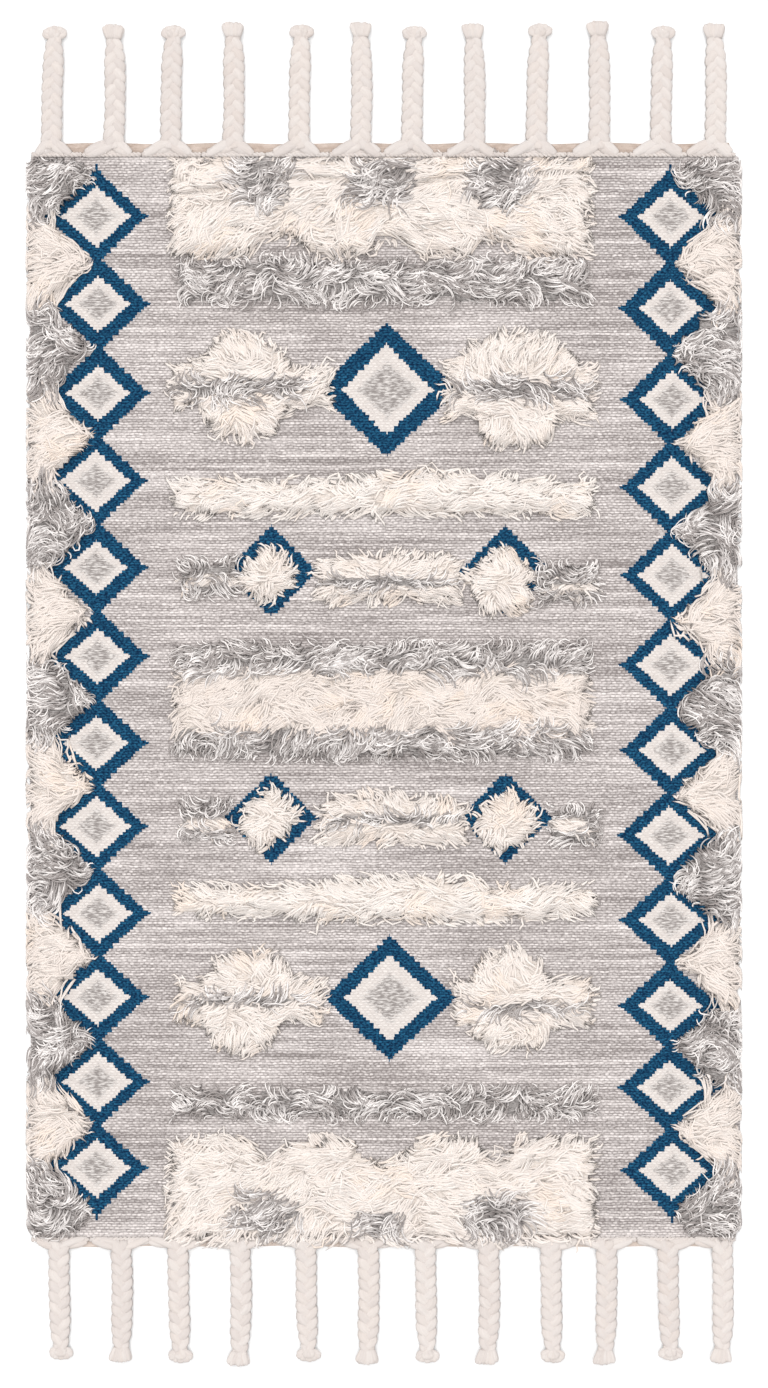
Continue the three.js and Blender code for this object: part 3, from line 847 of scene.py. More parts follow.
def plait_wool():
    """Soft unspun roving: fine fibres that run along each strand, cream with a faint blush and painted
    shade between them.
    """
    wool = Finish("plait_wool")
    tone, _, stained = wool.attribute("yarn")
    fibres = wool.grain(ROVING_FIBRE, *wool.attribute("fibre"))
    blush = wool.times(stained, BLUSH_SHARE)
    base = wool.mix(blush, wool.between(tone, ROVING), colour(*ROVING_BLUSH))
    # Painted shade between the fibres, where their pattern is low
    fibre_shade = wool.mix(FIBRE_SHADE_SHARE, base, colour(*ROVING_FIBRE_SHADE))
    wool.paint(wool.mix(wool.tone(ROVING_TONE, fibres), fibre_shade, base))
    wool.bump(fibres, ROVING_BUMP, ROVING_UPWARD)
    return wool.material


def bed_wool():
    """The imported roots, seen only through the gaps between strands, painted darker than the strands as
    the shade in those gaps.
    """
    wool = Finish("pile_roots")
    grey, _, _ = wool.attribute("yarn")
    x, y, _ = wool.place()
    speck = wool.tone(ROOT_TONE, wool.grain(ROOT_SPECK, x, y))
    wool.paint(wool.mix(grey, wool.between(speck, IVORY_ROOTS), wool.between(speck, GREY_ROOTS)))
    wool.bump(speck, ROOT_BUMP, ROOT_UPWARD)
    return wool.material


def smooth_noise(x, y, length, seed):
    """A slow, repeatable drift from about -1 to 1 over the rug, without a grid."""
    angles = np.random.default_rng(seed).uniform(0, TURN, (DRIFT_WAVES, 2))
    total = 0
    for number, (heading, phase) in enumerate(angles):
        reach = length * (DRIFT_SHORTEST + DRIFT_LONGER * number)
        total = total + np.sin((x * math.cos(heading) + y * math.sin(heading)) * TURN / reach + phase)
    return total / DRIFT_RANGE


def corner(y):
    """How far the rug's sides draw in at its rounded bottom corners."""
    return CORNER_DEPTH * np.clip((CORNER_START - y) / CORNER_HEIGHT, 0, CORNER_LIMIT) ** 2


def swollen(edge, x, swells):
    """The height of an edge at each x. A swell is half an ellipse, or squarer where it is rounder."""
    moved = np.full_like(x, float(edge))
    for swell in swells:
        share = np.clip(1 - np.abs((x - swell.middle) / swell.half) ** swell.round, 0, None)
        moved += swell.rise * share ** (1 / swell.round)
    return moved


def field_depth(patch, x, y):
    """How far each point lies inside a field patch, negative outside it."""
    high = swollen(patch.high, x, patch.high_swells)
    low = -swollen(-patch.low, x, patch.low_swells)
    inside = np.minimum.reduce([x - patch.left, patch.right - x, high - y, y - low])
    return inside + RAGGED * smooth_noise(x, y, *RAGGED_DRIFT)


def evened(x, y):
    """The height that a point would have if the border's rows were evenly spaced."""
    share = np.clip((FIRST_DIAMOND_Y - y) / DIAMOND_SPAN, 0, 1)
    sink, tail = (np.array(drop)[(x > 0).astype(int)] for drop in (ROW_SINK, ROW_TAIL))
    return y + sink * np.sin(share * math.pi) + tail * share


def wedge_row(x, y):
    """The number of the border wedge nearest to each point, from the top one down."""
    rows_down = (FIRST_DIAMOND_Y - evened(x, y)) / DIAMOND_PITCH
    return np.clip(np.round(rows_down + 0.5), 0, DIAMOND_ROWS)


def off_waist(x, y):
    """How far each point lies above the middle of its wedge."""
    waist = FIRST_DIAMOND_Y - DIAMOND_PITCH * (wedge_row(x, y) - 0.5)
    return evened(x, y) - waist


def wedge_half(x, y):
    """Half the wedge's height, which grows from its tip to the rug's edge."""
    own = np.random.default_rng(SEED).uniform(*WEDGE_GROWTH, (2, DIAMOND_ROWS + 1))
    own += np.array(WEDGE_SIDE_EXTRA)[:, None]
    own[1, ::2] += WEDGE_GREY_EXTRA
    growth = own[(x > 0).astype(int), wedge_row(x, y).astype(int)]
    half = WEDGE_TIP_HALF + growth + WEDGE_SLOPE * (np.abs(x) - WEDGE_INNER)
    return np.clip(half, WEDGE_LEAST_HALF, DIAMOND_PITCH / 2 + WEDGE_OVERLAP)


def wedge_depth(x, y):
    """How far each point lies inside the nearest border wedge."""
    ends = np.minimum(WEDGE_TOP_LIMIT - y, y - WEDGE_BOTTOM_LIMIT)
    side = np.minimum(WEDGE_OUTER - corner(y) - np.abs(x), np.abs(x) - WEDGE_INNER + WEDGE_TIP_REACH)
    ragged = WEDGE_RAGGED * RAGGED * smooth_noise(x, y, *WEDGE_DRIFT)
    return np.minimum.reduce([wedge_half(x, y) - np.abs(off_waist(x, y)) + ragged, side, ends])


def bed_profile(depth, crest):
    """The bed's height at each depth inside an outline: a quarter wave up to its crest."""
    share = np.clip((depth - BED_INSET) / BED_SHOULDER, 0, 1)
    return crest * np.sin(share * math.pi / 2)


def parting_height(patch, x):
    return np.interp(x, *zip(*patch.parting))


def creased(x, y):
    """The depth of the few creases, which run nearly along the weft."""
    run = smooth_noise(x * CREASE_STRETCH, y, *CREASE_DRIFT)
    run = run + CREASE_UNEVEN * smooth_noise(x, y, *CREASE_UNEVEN_DRIFT)
    gain, start = CREASE_OPEN
    open_share = np.clip(smooth_noise(x, y, *CREASE_OPEN_DRIFT) * gain + start, 0, 1)
    return CREASE_DEPTH * np.exp(-(run / CREASE_SHARPNESS) ** 2) * open_share


def surface(x, y):
    """The height of the ground and of the beds of roots that the strands lie on."""
    bed = bed_profile(wedge_depth(x, y), WEDGE_CREST)
    for patch in FIELD:
        own = bed_profile(field_depth(patch, x, y), patch.crest)
        off = (y - parting_height(patch, x)) / GROOVE_HALF
        bed = np.maximum(bed, own - np.minimum(own, patch.groove * np.exp(-off ** 2)))
    bed = bed * (1 + BED_LUMP * smooth_noise(x, y, *LUMP_DRIFT))
    return GROUND_THICKNESS + bed - np.minimum(CREASE_MOST * bed, creased(x, y))


def in_blob(x, y, blobs, ragged):
    """True where a point, moved by a ragged share, is in one of the blobs."""
    found = np.zeros(len(x), bool)
    for blob in blobs:
        found |= ((x - blob.x) / blob.half_x) ** 2 + ((y - blob.y) / blob.half_y) ** 2 < ragged
    return found


def placed(name, data):
    """A new object in the scene, with its mesh, light or camera."""
    item = bpy.data.objects.new(name, data)
    bpy.context.scene.collection.objects.link(item)
    return item


def new_piece(name, mesh, finish):
    """Puts a mesh that was made in millimetres on the rug, at its place in metres."""
    piece = placed(name, mesh)
    mesh.transform([[MM, 0, 0, 0], [0, MM, 0, 0], [0, 0, MM, 0], [0, 0, 0, 1]])
    mesh.materials.append(finish)
    mesh.shade_smooth()
    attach(piece, "root")
    return piece


def write_attribute(mesh, name, kind, field, values):
    mesh.attributes.new(name, kind, "POINT").data.foreach_set(field, values.astype(np.float32).ravel())


def sweep(name, lines, radii, tones, stains, sides, flat=1.0):
    """Tubes about lines of points, all in one mesh: capped at the root and pointed at the tip.

    They are laid out as arrays, because a piece has thousands of them. The yarn attribute holds each
    strand's tone, the share of its length from the root, and its stain. The fibre attribute holds the
    place along and across the strand, moved by a step of its own.
    """
    count, points, _ = lines.shape
    rings = points - 1
    ahead = np.gradient(lines, axis=1)
    ahead /= np.linalg.norm(ahead, axis=2, keepdims=True) + 1e-9
    across = np.cross(ahead, [0, 0, 1])
    across += np.array([1e-6, 0, 0])
    across /= np.linalg.norm(across, axis=2, keepdims=True)
    above = np.cross(across, ahead)
    turn = (np.arange(sides) + SIDE_TURN) * TURN / sides
    thick = radii[:, :rings, None, None]
    cos, sin = np.cos(turn)[:, None], np.sin(turn)[:, None]
    round_points = lines[:, :rings, None] + thick * (
        across[:, :rings, None] * cos + above[:, :rings, None] * sin * flat)
    block = rings * sides + 1
    places = np.concatenate([round_points.reshape(count, -1, 3), lines[:, -1:]], axis=1)

    side = np.arange(sides)
    following = (side + 1) % sides
    ring = np.arange(rings - 1)[:, None] * sides
    quads = np.stack([ring + side, ring + sides + side, ring + sides + following, ring + following], 2)
    last = (rings - 1) * sides
    tips = np.stack([last + side, np.full(sides, block - 1), last + following], 1)
    first = np.arange(count)[:, None] * block
    corners = np.concatenate([quads.ravel(), tips.ravel(), side])
    sizes = np.concatenate([np.full(quads.size // 4, 4), np.full(sides, 3), [sides]])
    starts = np.concatenate([[0], np.cumsum(sizes)[:-1]])

    mesh = bpy.data.meshes.new(name)
    mesh.vertices.add(count * block)
    mesh.vertices.foreach_set("co", places.astype(np.float32).ravel())
    mesh.loops.add(count * len(corners))
    mesh.loops.foreach_set("vertex_index", (first + corners).astype(np.int32).ravel())
    mesh.polygons.add(count * len(sizes))
    all_starts = np.arange(count)[:, None] * len(corners) + starts
    mesh.polygons.foreach_set("loop_start", all_starts.astype(np.int32).ravel())
    mesh.update(calc_edges=True)

    share = np.append(np.repeat(np.arange(rings), sides), rings) / rings
    yarn = np.ones((count, block, 4))
    yarn[..., 0] = tones[:, None]
    yarn[..., 1] = share
    yarn[..., 2] = stains[:, None]
    write_attribute(mesh, "yarn", "FLOAT_COLOR", "color", yarn)
    gone = np.concatenate([np.zeros((count, 1)), np.cumsum(
        np.linalg.norm(np.diff(lines, axis=1), axis=2), axis=1)], axis=1)
    fibre = np.zeros((count, block, 3))
    fibre[:, :-1, 0] = np.repeat(gone[:, :rings], sides, axis=1)
    fibre[:, -1, 0] = gone[:, -1]
    fibre[:, :-1, 1] = (radii[:, :rings, None] * np.cos(turn)).reshape(count, -1)
    fibre[:, :-1, 2] = (radii[:, :rings, None] * np.sin(turn)).reshape(count, -1)
    fibre[..., 1] += np.arange(count)[:, None] % FIBRE_STEPS * FIBRE_STEP
    write_attribute(mesh, "fibre", "FLOAT_VECTOR", "vector", fibre)
    return mesh


def locks(rng, x, y, pitch):
    """The lock that each root belongs to: its middle, and its turn, tone, layer and bend."""
    wander = LOCK_WANDER * pitch
    column = np.floor((x + wander * smooth_noise(x, y, *LOCK_COLUMN_DRIFT)) / pitch).astype(int)
    row = np.floor((y + wander * smooth_noise(x, y, *LOCK_ROW_DRIFT)) / pitch).astype(int)
    columns, rows = LOCK_TABLE
    values = rng.random((4, columns, rows))[:, column % columns, row % rows]
    return (column + 0.5) * pitch, (row + 0.5) * pitch, values


def lay_strands(rng, yarn, roots, heading_of, length, depth_of, shade):
    """Strands side by side in locks on the surface below: their centre lines, and their tones."""
    x, y = roots
    middle_x, middle_y, (turn, tone, layer, bend) = locks(rng, x, y, yarn.lock)
    count = len(x)
    loose = rng.random(count) < yarn.loose
    stray = rng.normal(0, yarn.stray, count) * np.where(loose, LOOSE_STRAY, 1)
    heading = heading_of(middle_x, middle_y) + (turn - 0.5) * yarn.turn + stray
    bend_share = LEAST_BEND + (1 - LEAST_BEND) * np.abs(bend - 0.5) * 2
    bend = np.sign(bend - 0.5) * bend_share * yarn.bend
    bend = bend + rng.normal(0, BEND_STRAY * yarn.bend, count)
    heading = heading - bend * BEND_BACK
    phase = PHASE_STRAY * rng.uniform(0, 1, count) + tone
    length = length * yarn.reach * rng.uniform(*STRAND_LENGTHS, count)
    share = np.linspace(0, 1, yarn.points)
    curl = yarn.curl * rng.uniform(*STRAND_CURLS, count) * np.where(loose, LOOSE_CURL, 1)

    def laid(length):
        wave = curl[:, None] * np.sin(TURN * (yarn.turns * share + phase[:, None]))
        angle = heading[:, None] + bend[:, None] * share + wave
        step = length[:, None] / (yarn.points - 1)
        back = step + STRAND_SETBACK * length[:, None]
        clump = yarn.clump * share ** 2
        along_x = x[:, None] + np.cumsum(step * np.cos(angle), axis=1) - back * np.cos(angle[:, :1])
        along_y = y[:, None] + np.cumsum(step * np.sin(angle), axis=1) - back * np.sin(angle[:, :1])
        along_x += (middle_x - x)[:, None] * clump
        along_y += (middle_y - y)[:, None] * clump
        limit = SIDE_LIMIT - corner(along_y)
        over = np.abs(along_x) - limit
        held = limit + SIDE_GIVE * np.tanh(over / SIDE_GIVE)
        return np.where(over > 0, np.sign(along_x) * held, along_x), along_y

    overhang = rng.uniform(*STRAND_OVERHANG, count) + loose * LOOSE_OVERHANG
    for _ in range(STRAND_CUTS):
        line_x, line_y = laid(length)
        out = depth_of(line_x[:, -1], line_y[:, -1]) < -overhang
        length = np.where(out, length * STRAND_CUT, length)
    line_x, line_y = laid(length)
    kept = depth_of(line_x[:, -1], line_y[:, -1]) > -overhang - CUT_SLACK
    kept &= depth_of(line_x[:, 0], line_y[:, 0]) > -ROOT_OUTSIDE
    rest = surface(line_x.ravel(), line_y.ravel()).reshape(line_x.shape)
    rest = np.where(line_y < OVER_CORD_Y, np.maximum(rest, OVER_CORD_HEIGHT), rest)
    aside = (y - middle_y) * np.cos(heading) - (x - middle_x) * np.sin(heading)
    dome = yarn.dome * np.sqrt(np.clip(1 - (aside / (LOCK_HALF * yarn.lock)) ** 2, 0, 1))
    layered = (1 - LAYER_STRAY) * layer + LAYER_STRAY * rng.random(count)
    pile = yarn.layers * layered + dome + loose * LOOSE_LIFT
    arch = yarn.lift * np.sin(math.pi * np.minimum(1, share * ARCH_SPAN))
    arch = arch * rng.uniform(*STRAND_LIFTS, count)[:, None]
    line_z = rest + STRAND_SEAT * yarn.radius * yarn.flat + pile[:, None] * (1 - TIP_SUNK * share) + arch
    line_z[:, 0] = rest[:, 0] - ROOT_SUNK
    lines = np.stack([line_x, line_y, line_z], axis=2)
    own_tone = (1 - TONE_STRAY) * tone + TONE_STRAY * rng.random(count)
    tones = np.clip(yarn.contrast * (own_tone - 0.5) + yarn.light, 0, 1)
    # The shade paints the ivory strands darker as painted shade, or lighter as painted light where it is
    # negative
    return lines[kept], np.clip(tones[kept] - (0 if yarn is GREY else shade), 0, 1)


def scatter_roots(rng, left, right, low, high, spacing, depth_of, inset):
    """Even but irregular root places inside an outline."""
    columns = np.arange(left, right, spacing)
    rows = np.arange(low, high, spacing)
    x, y = (axis.ravel() for axis in np.meshgrid(columns, rows))
    x = x + rng.uniform(-0.5, 0.5, len(x)) * spacing * ROOT_JITTER
    y = y + rng.uniform(-0.5, 0.5, len(y)) * spacing * ROOT_JITTER
    inside = depth_of(x, y) > inset
    return x[inside], y[inside]


def field_heading(patch, x, y):
    """Strands lie nearly along the weft, to the left or right in turns, and tilt out to each edge."""
    half_width = (patch.right - patch.left) / 2
    across = (x - patch.left) / half_width - 1
    parting = parting_height(patch, x)
    reach = np.where(y > parting, patch.high - parting, parting - patch.low)
    rise = np.clip((y - parting) / np.maximum(reach, LEAST_TILT_HEIGHT), -TILT_LIMIT, TILT_LIMIT)
    to_right = across * MINGLE_WIDTH / half_width + smooth_noise(x, y, *MINGLE_DRIFT) > 0
    slant = math.radians(patch.slant) + math.radians(SLANT_VARIES) * smooth_noise(x, y, *SLANT_DRIFT)
    tilt = math.radians(patch.tilt) * np.sign(rise) * np.abs(rise) ** TILT_GROWTH
    return np.where(to_right, slant + tilt, math.pi + slant - tilt)


def wedge_heading(x, y):
    """Strands fan out to the rug's edge and over the slanting sides, and those at the tip lie inwards."""
    off = np.clip(off_waist(x, y) / wedge_half(x, y), -1, 1)
    fan = math.radians(WEDGE_FAN) * off + math.radians(WEDGE_FAN_TURN) * off ** 3
    sway = math.radians(WEDGE_SWAY) * smooth_noise(x, y, *SWAY_DRIFT)
    turned = WEDGE_TURNED * (1 + smooth_noise(x, y, *TURNED_DRIFT))
    outwards = np.where(np.abs(x) > WEDGE_INNER + turned, 1, -1)
    angle = fan * outwards + math.radians(WEDGE_DROOP) + sway
    return np.where(x * outwards > 0, angle, math.pi - angle)


def stain_share(x, y):
    """Where the ivory yarn has a peach cast: slow clouds over the rug."""
    clouds = smooth_noise(x, y, *STAIN_DRIFT) * smooth_noise(x, y, *STAIN_PATCH_DRIFT)
    return np.clip(clouds - STAIN_START, 0, STAIN_MOST)


def shag_piece(name, grey, parts, finishes):
    """One mesh of all the strands of a yarn in a band or a border."""
    yarn = GREY if grey else IVORY
    lines = np.concatenate([part[0] for part in parts])
    tones = np.concatenate([part[1] for part in parts])
    taper = np.linspace(1, STRAND_TAPER, yarn.points)
    thick = yarn.radius * np.random.default_rng(SEED).uniform(*STRAND_GIRTHS, len(lines))
    stains = np.zeros(len(lines)) if grey else stain_share(lines[:, 0, 0], lines[:, 0, 1])
    mesh = sweep(name, lines, thick[:, None] * taper, tones, stains, PILE_SIDES, yarn.flat)
    slot = "grey_pile" if grey else "ivory_pile"
    return new_piece(f"{name}_{slot}", mesh, finishes[slot])


def field_shag(rng, finishes):
    """The shag of the field, a piece for each band and yarn."""
    bands = {}
    for patch in FIELD:
        depth_of = partial(field_depth, patch)
        heading_of = partial(field_heading, patch)
        box = (patch.left, patch.right, patch.low - PATCH_REACH, patch.high + PATCH_REACH)
        for grey in (False, True):
            yarn = GREY if grey else IVORY
            x, y = scatter_roots(rng, *box, yarn.spacing, depth_of, ROOT_INSET)
            blob = in_blob(x, y, patch.blobs, rng.uniform(*BLOB_RAGGED, len(x)))
            chosen = blob != patch.grey if grey else blob == patch.grey
            roots = x[chosen], y[chosen]
            if len(roots[0]) == 0:
                continue
            strands = lay_strands(rng, yarn, roots, heading_of, patch.length, depth_of, patch.shade)
            bands.setdefault((patch.band, grey), []).append(strands)
    return [shag_piece(band, grey, parts, finishes) for (band, grey), parts in bands.items()]


def border_shag(rng, finishes):
    """The wedges of shag along both edges, a piece for each edge and yarn."""
    pieces = []
    for side, sign in (("left", -1), ("right", 1)):
        near, far = sorted((sign * (WEDGE_INNER - WEDGE_ROOM), sign * WEDGE_OUTER))
        for grey in (False, True):
            yarn = GREY if grey else IVORY
            x, y = scatter_roots(rng, near, far, WEDGE_BOTTOM_LIMIT, WEDGE_TOP_LIMIT,
                                 yarn.spacing, wedge_depth, WEDGE_ROOT_INSET)
            chosen = (wedge_row(x, y) % 2 == 0) == grey
            roots = x[chosen], y[chosen]
            strands = lay_strands(rng, yarn, roots, wedge_heading, WEDGE_LENGTH, wedge_depth,
                                  WEDGE_SHADE)
            pieces.append(shag_piece(f"border_{side}", grey, [strands], finishes))
    return pieces


def flat_grid(columns, rows):
    """A grid to be shaped, and how far each of its points lies across it and up it, as a share."""
    body = bmesh.new()
    bmesh.ops.create_grid(body, x_segments=columns, y_segments=rows, size=1)
    places = np.array([vert.co for vert in body.verts])
    return body, (places[:, 0] + 1) / 2, (places[:, 1] + 1) / 2


def shape(body, x, y, z):
    """Moves a grid's points to their places."""
    for vert, place in zip(body.verts, zip(x, y, z)):
        vert.co = place


def skirted(body, height):
    """Draws a sheet's open rim down to a height, and gives the new rim's edges."""
    rim = [edge for edge in body.edges if edge.is_boundary]
    skirt = bmesh.ops.extrude_edge_only(body, edges=rim)["geom"]
    for vert in (item for item in skirt if isinstance(item, bmesh.types.BMVert)):
        vert.co.z = height
    return [edge for edge in body.edges if edge.is_boundary]


def closed_mesh(body, name):
    """A closed body as a mesh, with its faces outwards."""
    bmesh.ops.recalc_face_normals(body, faces=body.faces)
    mesh = bpy.data.meshes.new(name)
    body.to_mesh(mesh)
    body.free()
    return mesh


def root_bed(name, left, right, low, high, depth_of, grey_at, finish):
    """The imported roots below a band's strands: a low lumpy body with its rim on the ground."""
    columns, rows = (max(2, round(size / BED_CELL)) for size in (right - left, high - low))
    body, across, up = flat_grid(columns, rows)
    x = left + across * (right - left)
    y = low + up * (high - low)
    shape(body, x, y, surface(x, y))
    depth = depth_of(x, y)
    outside = [vert for vert, inside in zip(body.verts[:], depth > BED_INSET) if not inside]
    bmesh.ops.delete(body, geom=outside, context="VERTS")
    bmesh.ops.holes_fill(body, edges=skirted(body, GROUND_THICKNESS - BED_SUNK), sides=0)
    mesh = closed_mesh(body, name)
    places = np.array([vert.co for vert in mesh.vertices])
    yarn = np.ones((len(places), 4))
    yarn[:, 0] = grey_at(places[:, 0], places[:, 1])
    write_attribute(mesh, "yarn", "FLOAT_COLOR", "color", yarn)
    return new_piece(name, mesh, finish)


def field_grey(patch, x, y):
    """Where a field patch has the grey yarn."""
    return in_blob(x, y, patch.blobs, np.ones(len(x))) != patch.grey


def wedge_grey(x, y):
    """How grey the roots of the wedges are, by turns from the top one down: the grey ones fully and the
    ivory ones a little, as painted shade in their gaps.
    """
    return np.where(wedge_row(x, y) % 2 == 0, 1, IVORY_WEDGE_ROOT_SHADE)


def root_beds(finish):
    """The beds of roots, one for each field patch and for each border."""
    pieces = []
    for number, patch in enumerate(FIELD, 1):
        reach = max([abs(swell.rise) for swell in patch.low_swells + patch.high_swells], default=0)
        low = max(patch.low - reach, GROUND_BOTTOM)
        pieces.append(root_bed(f"pile_roots_{number:02d}", patch.left, patch.right, low,
                               patch.high + reach, partial(field_depth, patch),
                               partial(field_grey, patch), finish))
    inner = WEDGE_INNER - WEDGE_ROOM
    for side, near, far in (("left", -WEDGE_OUTER, -inner), ("right", inner, WEDGE_OUTER)):
        pieces.append(root_bed(f"pile_roots_border_{side}", near, far, WEDGE_BOTTOM_LIMIT,
                               WEDGE_TOP_LIMIT, wedge_depth, wedge_grey, finish))
    return pieces


def ground_edge(y, sign):
    """The ground's wavy left or right edge at each height."""
    return sign * (GROUND_HALF_WIDTH - corner(y)) + EDGE_WAVE * np.sin(y / EDGE_WAVE_LENGTH + sign)


def woven_ground(finish):
    """The flat weave: fine ribs along the weft on top, and one flat face below."""
    length = GROUND_TOP - GROUND_BOTTOM
    cloth, across, up = flat_grid(GROUND_COLUMNS, round(length / PICK) * ROWS_A_PICK)
    y = GROUND_BOTTOM + up * length
    left, right = ground_edge(y, -1), ground_edge(y, 1)
    x = left + across * (right - left)
    rib = -np.cos(y * TURN / PICK) * PICK_DEPTH / 2
    long, short = COCKLE_LENGTHS
    cockle = COCKLE * np.sin(x / long) * np.sin(y / short)
    shape(cloth, x, y, GROUND_THICKNESS - PICK_DEPTH / 2 + rib + cockle)
    bmesh.ops.contextual_create(cloth, geom=skirted(cloth, 0))
    mesh = closed_mesh(cloth, "woven_ground")
    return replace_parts(new_piece("woven_ground", mesh, finish), "rug_body")


def heading(name, end, edge, outer, finish):
    """A narrow woven strip along an end of the ground, uneven along its outer edge."""
    strip, across, up = flat_grid(HEADING_COLUMNS, HEADING_ROWS)
    x = (2 * across - 1) * HEADING_HALF_LENGTH
    depth = outer - abs(edge) - HEADING_WAVE * (1 + np.sin(x / HEADING_WAVE_LENGTH))
    crown = HEADING_CROWN * np.sin(math.pi * up)
    crown += HEADING_RIPPLE * np.sin(x * TURN / HEADING_RIPPLE_LENGTH)
    y = edge + end * (GAP + up * (depth - GAP))
    shape(strip, x, y, HEADING_THICKNESS - HEADING_CROWN + crown)
    bmesh.ops.contextual_create(strip, geom=skirted(strip, 0))
    mesh = closed_mesh(strip, name)
    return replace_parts(new_piece(name, mesh, finish), name.replace("_strip", ""))


def plait_line(plait, start, share):
    """The plait's middle line from its root to its tip, and its direction."""
    length = plait.end - start
    bow = plait.middle - (plait.root + plait.tip) / 2
    x = plait.root + (plait.tip - plait.root) * share + 4 * bow * share * (1 - share)
    return np.stack([x, start + length * share], axis=-1)


def tassel_strands(rng, plait, start):
    """The strands of a plait, which narrow into a neck before the tip."""
    length = plait.end - start
    reach = np.arange(-PLAIT_TUCK, length - PLAIT_CUT, PLAIT_STEP)
    base = plait_line(plait, start, reach / length)
    neck = np.clip((length - PLAIT_NECK + PLAIT_NECK_SLACK - reach) / PLAIT_NARROWING, 0, 1)
    width = PLAIT_NECK_WIDTH + (1 - PLAIT_NECK_WIDTH) * np.sin(neck * math.pi / 2)
    root = 1 - (1 - PLAIT_ROOT_WIDTH) * np.clip(-reach / PLAIT_TUCK, 0, 1)
    turn = reach / PLAIT_PERIOD * TURN + rng.uniform(0, TURN)
    lines, radii = [], []
    for strand in range(PLAIT_STRANDS):
        phase = turn + strand * TURN / PLAIT_STRANDS
        x = base[:, 0] + PLAIT_AMPLITUDE * width * root * np.sin(phase)
        z = PLAIT_MIDDLE_HEIGHT - PLAIT_DEPTH * width * np.sin(2 * phase)
        lines.append(np.stack([x, base[:, 1], z], axis=1))
        uneven = 1 + PLAIT_UNEVEN * np.sin(reach / PLAIT_UNEVEN_LENGTH + rng.uniform(0, TURN))
        radii.append(PLAIT_STRAND_RADIUS * width ** PLAIT_NECK_FATNESS * uneven)
    return np.array(lines), np.array(radii)


def tassel_legs(rng, plait, start, legs):
    """Two fat legs that tie the plait over the heading, of two plies each, and the knot between them."""
    share = np.linspace(0, 1, LEG_POINTS)
    lines, radii = [], []
    for sign in (-1, 1):
        reach = legs.reach * rng.uniform(*LEG_REACHES) - legs.lean * sign
        reach = min(reach, LEG_END - sign * plait.root)
        x = plait.root + sign * (LEG_ROOT_X + (reach - LEG_ROOT_X) * share)
        y = start - LEG_ROOT_Y - (legs.fall - LEG_ROOT_Y - LEG_TOE_RISE) * share
        wave = np.clip(LEG_WAVE_START + LEG_WAVE_RUN * share, 0, 1)
        fat = np.sin(math.pi * wave) ** LEG_ROUNDNESS
        turn = TURN * (LEG_TWIST * share + rng.uniform(0, 1))
        for ply in (0, math.pi):
            offset = LEG_PLY_OFFSET * fat
            z = LEG_HEIGHT + LEG_PLY_HEIGHT * offset * np.sin(turn + ply) - LEG_DROP * share
            lines.append(np.stack([x, y + offset * np.cos(turn + ply), z], axis=1))
            radii.append(legs.ply * fat)
    x = plait.root + KNOT_X + KNOT_HALF * (2 * share - 1)
    y = np.full(LEG_POINTS, start - legs.fall + KNOT_LIFT)
    lines.append(np.stack([x, y, np.full(LEG_POINTS, KNOT_HEIGHT)], axis=1))
    radii.append(KNOT_RADIUS * np.sin(math.pi * np.clip(share, *KNOT_ENDS)) ** 0.5)
    return np.array(lines), np.array(radii)


def edge_cord(left, right, start, fall):
    """The plait's share of the twined cord that runs along the heading's inner edge."""
    x = np.linspace(left, right, CORD_POINTS)
    lines, radii = [], []
    turn = x * TURN / CORD_PITCH
    for ply in (0, math.pi):
        y = start - fall + CORD_RISE + CORD_RADIUS * CORD_PLY_OFFSET * np.cos(turn + ply)
        z = GROUND_THICKNESS + CORD_RADIUS * CORD_LIFT
        z = z + CORD_RADIUS * CORD_PLY_HEIGHT * np.sin(turn + ply)
        lines.append(np.stack([x, y, z], axis=1))
        radii.append(np.full(len(x), CORD_RADIUS))
    return np.array(lines), np.array(radii)


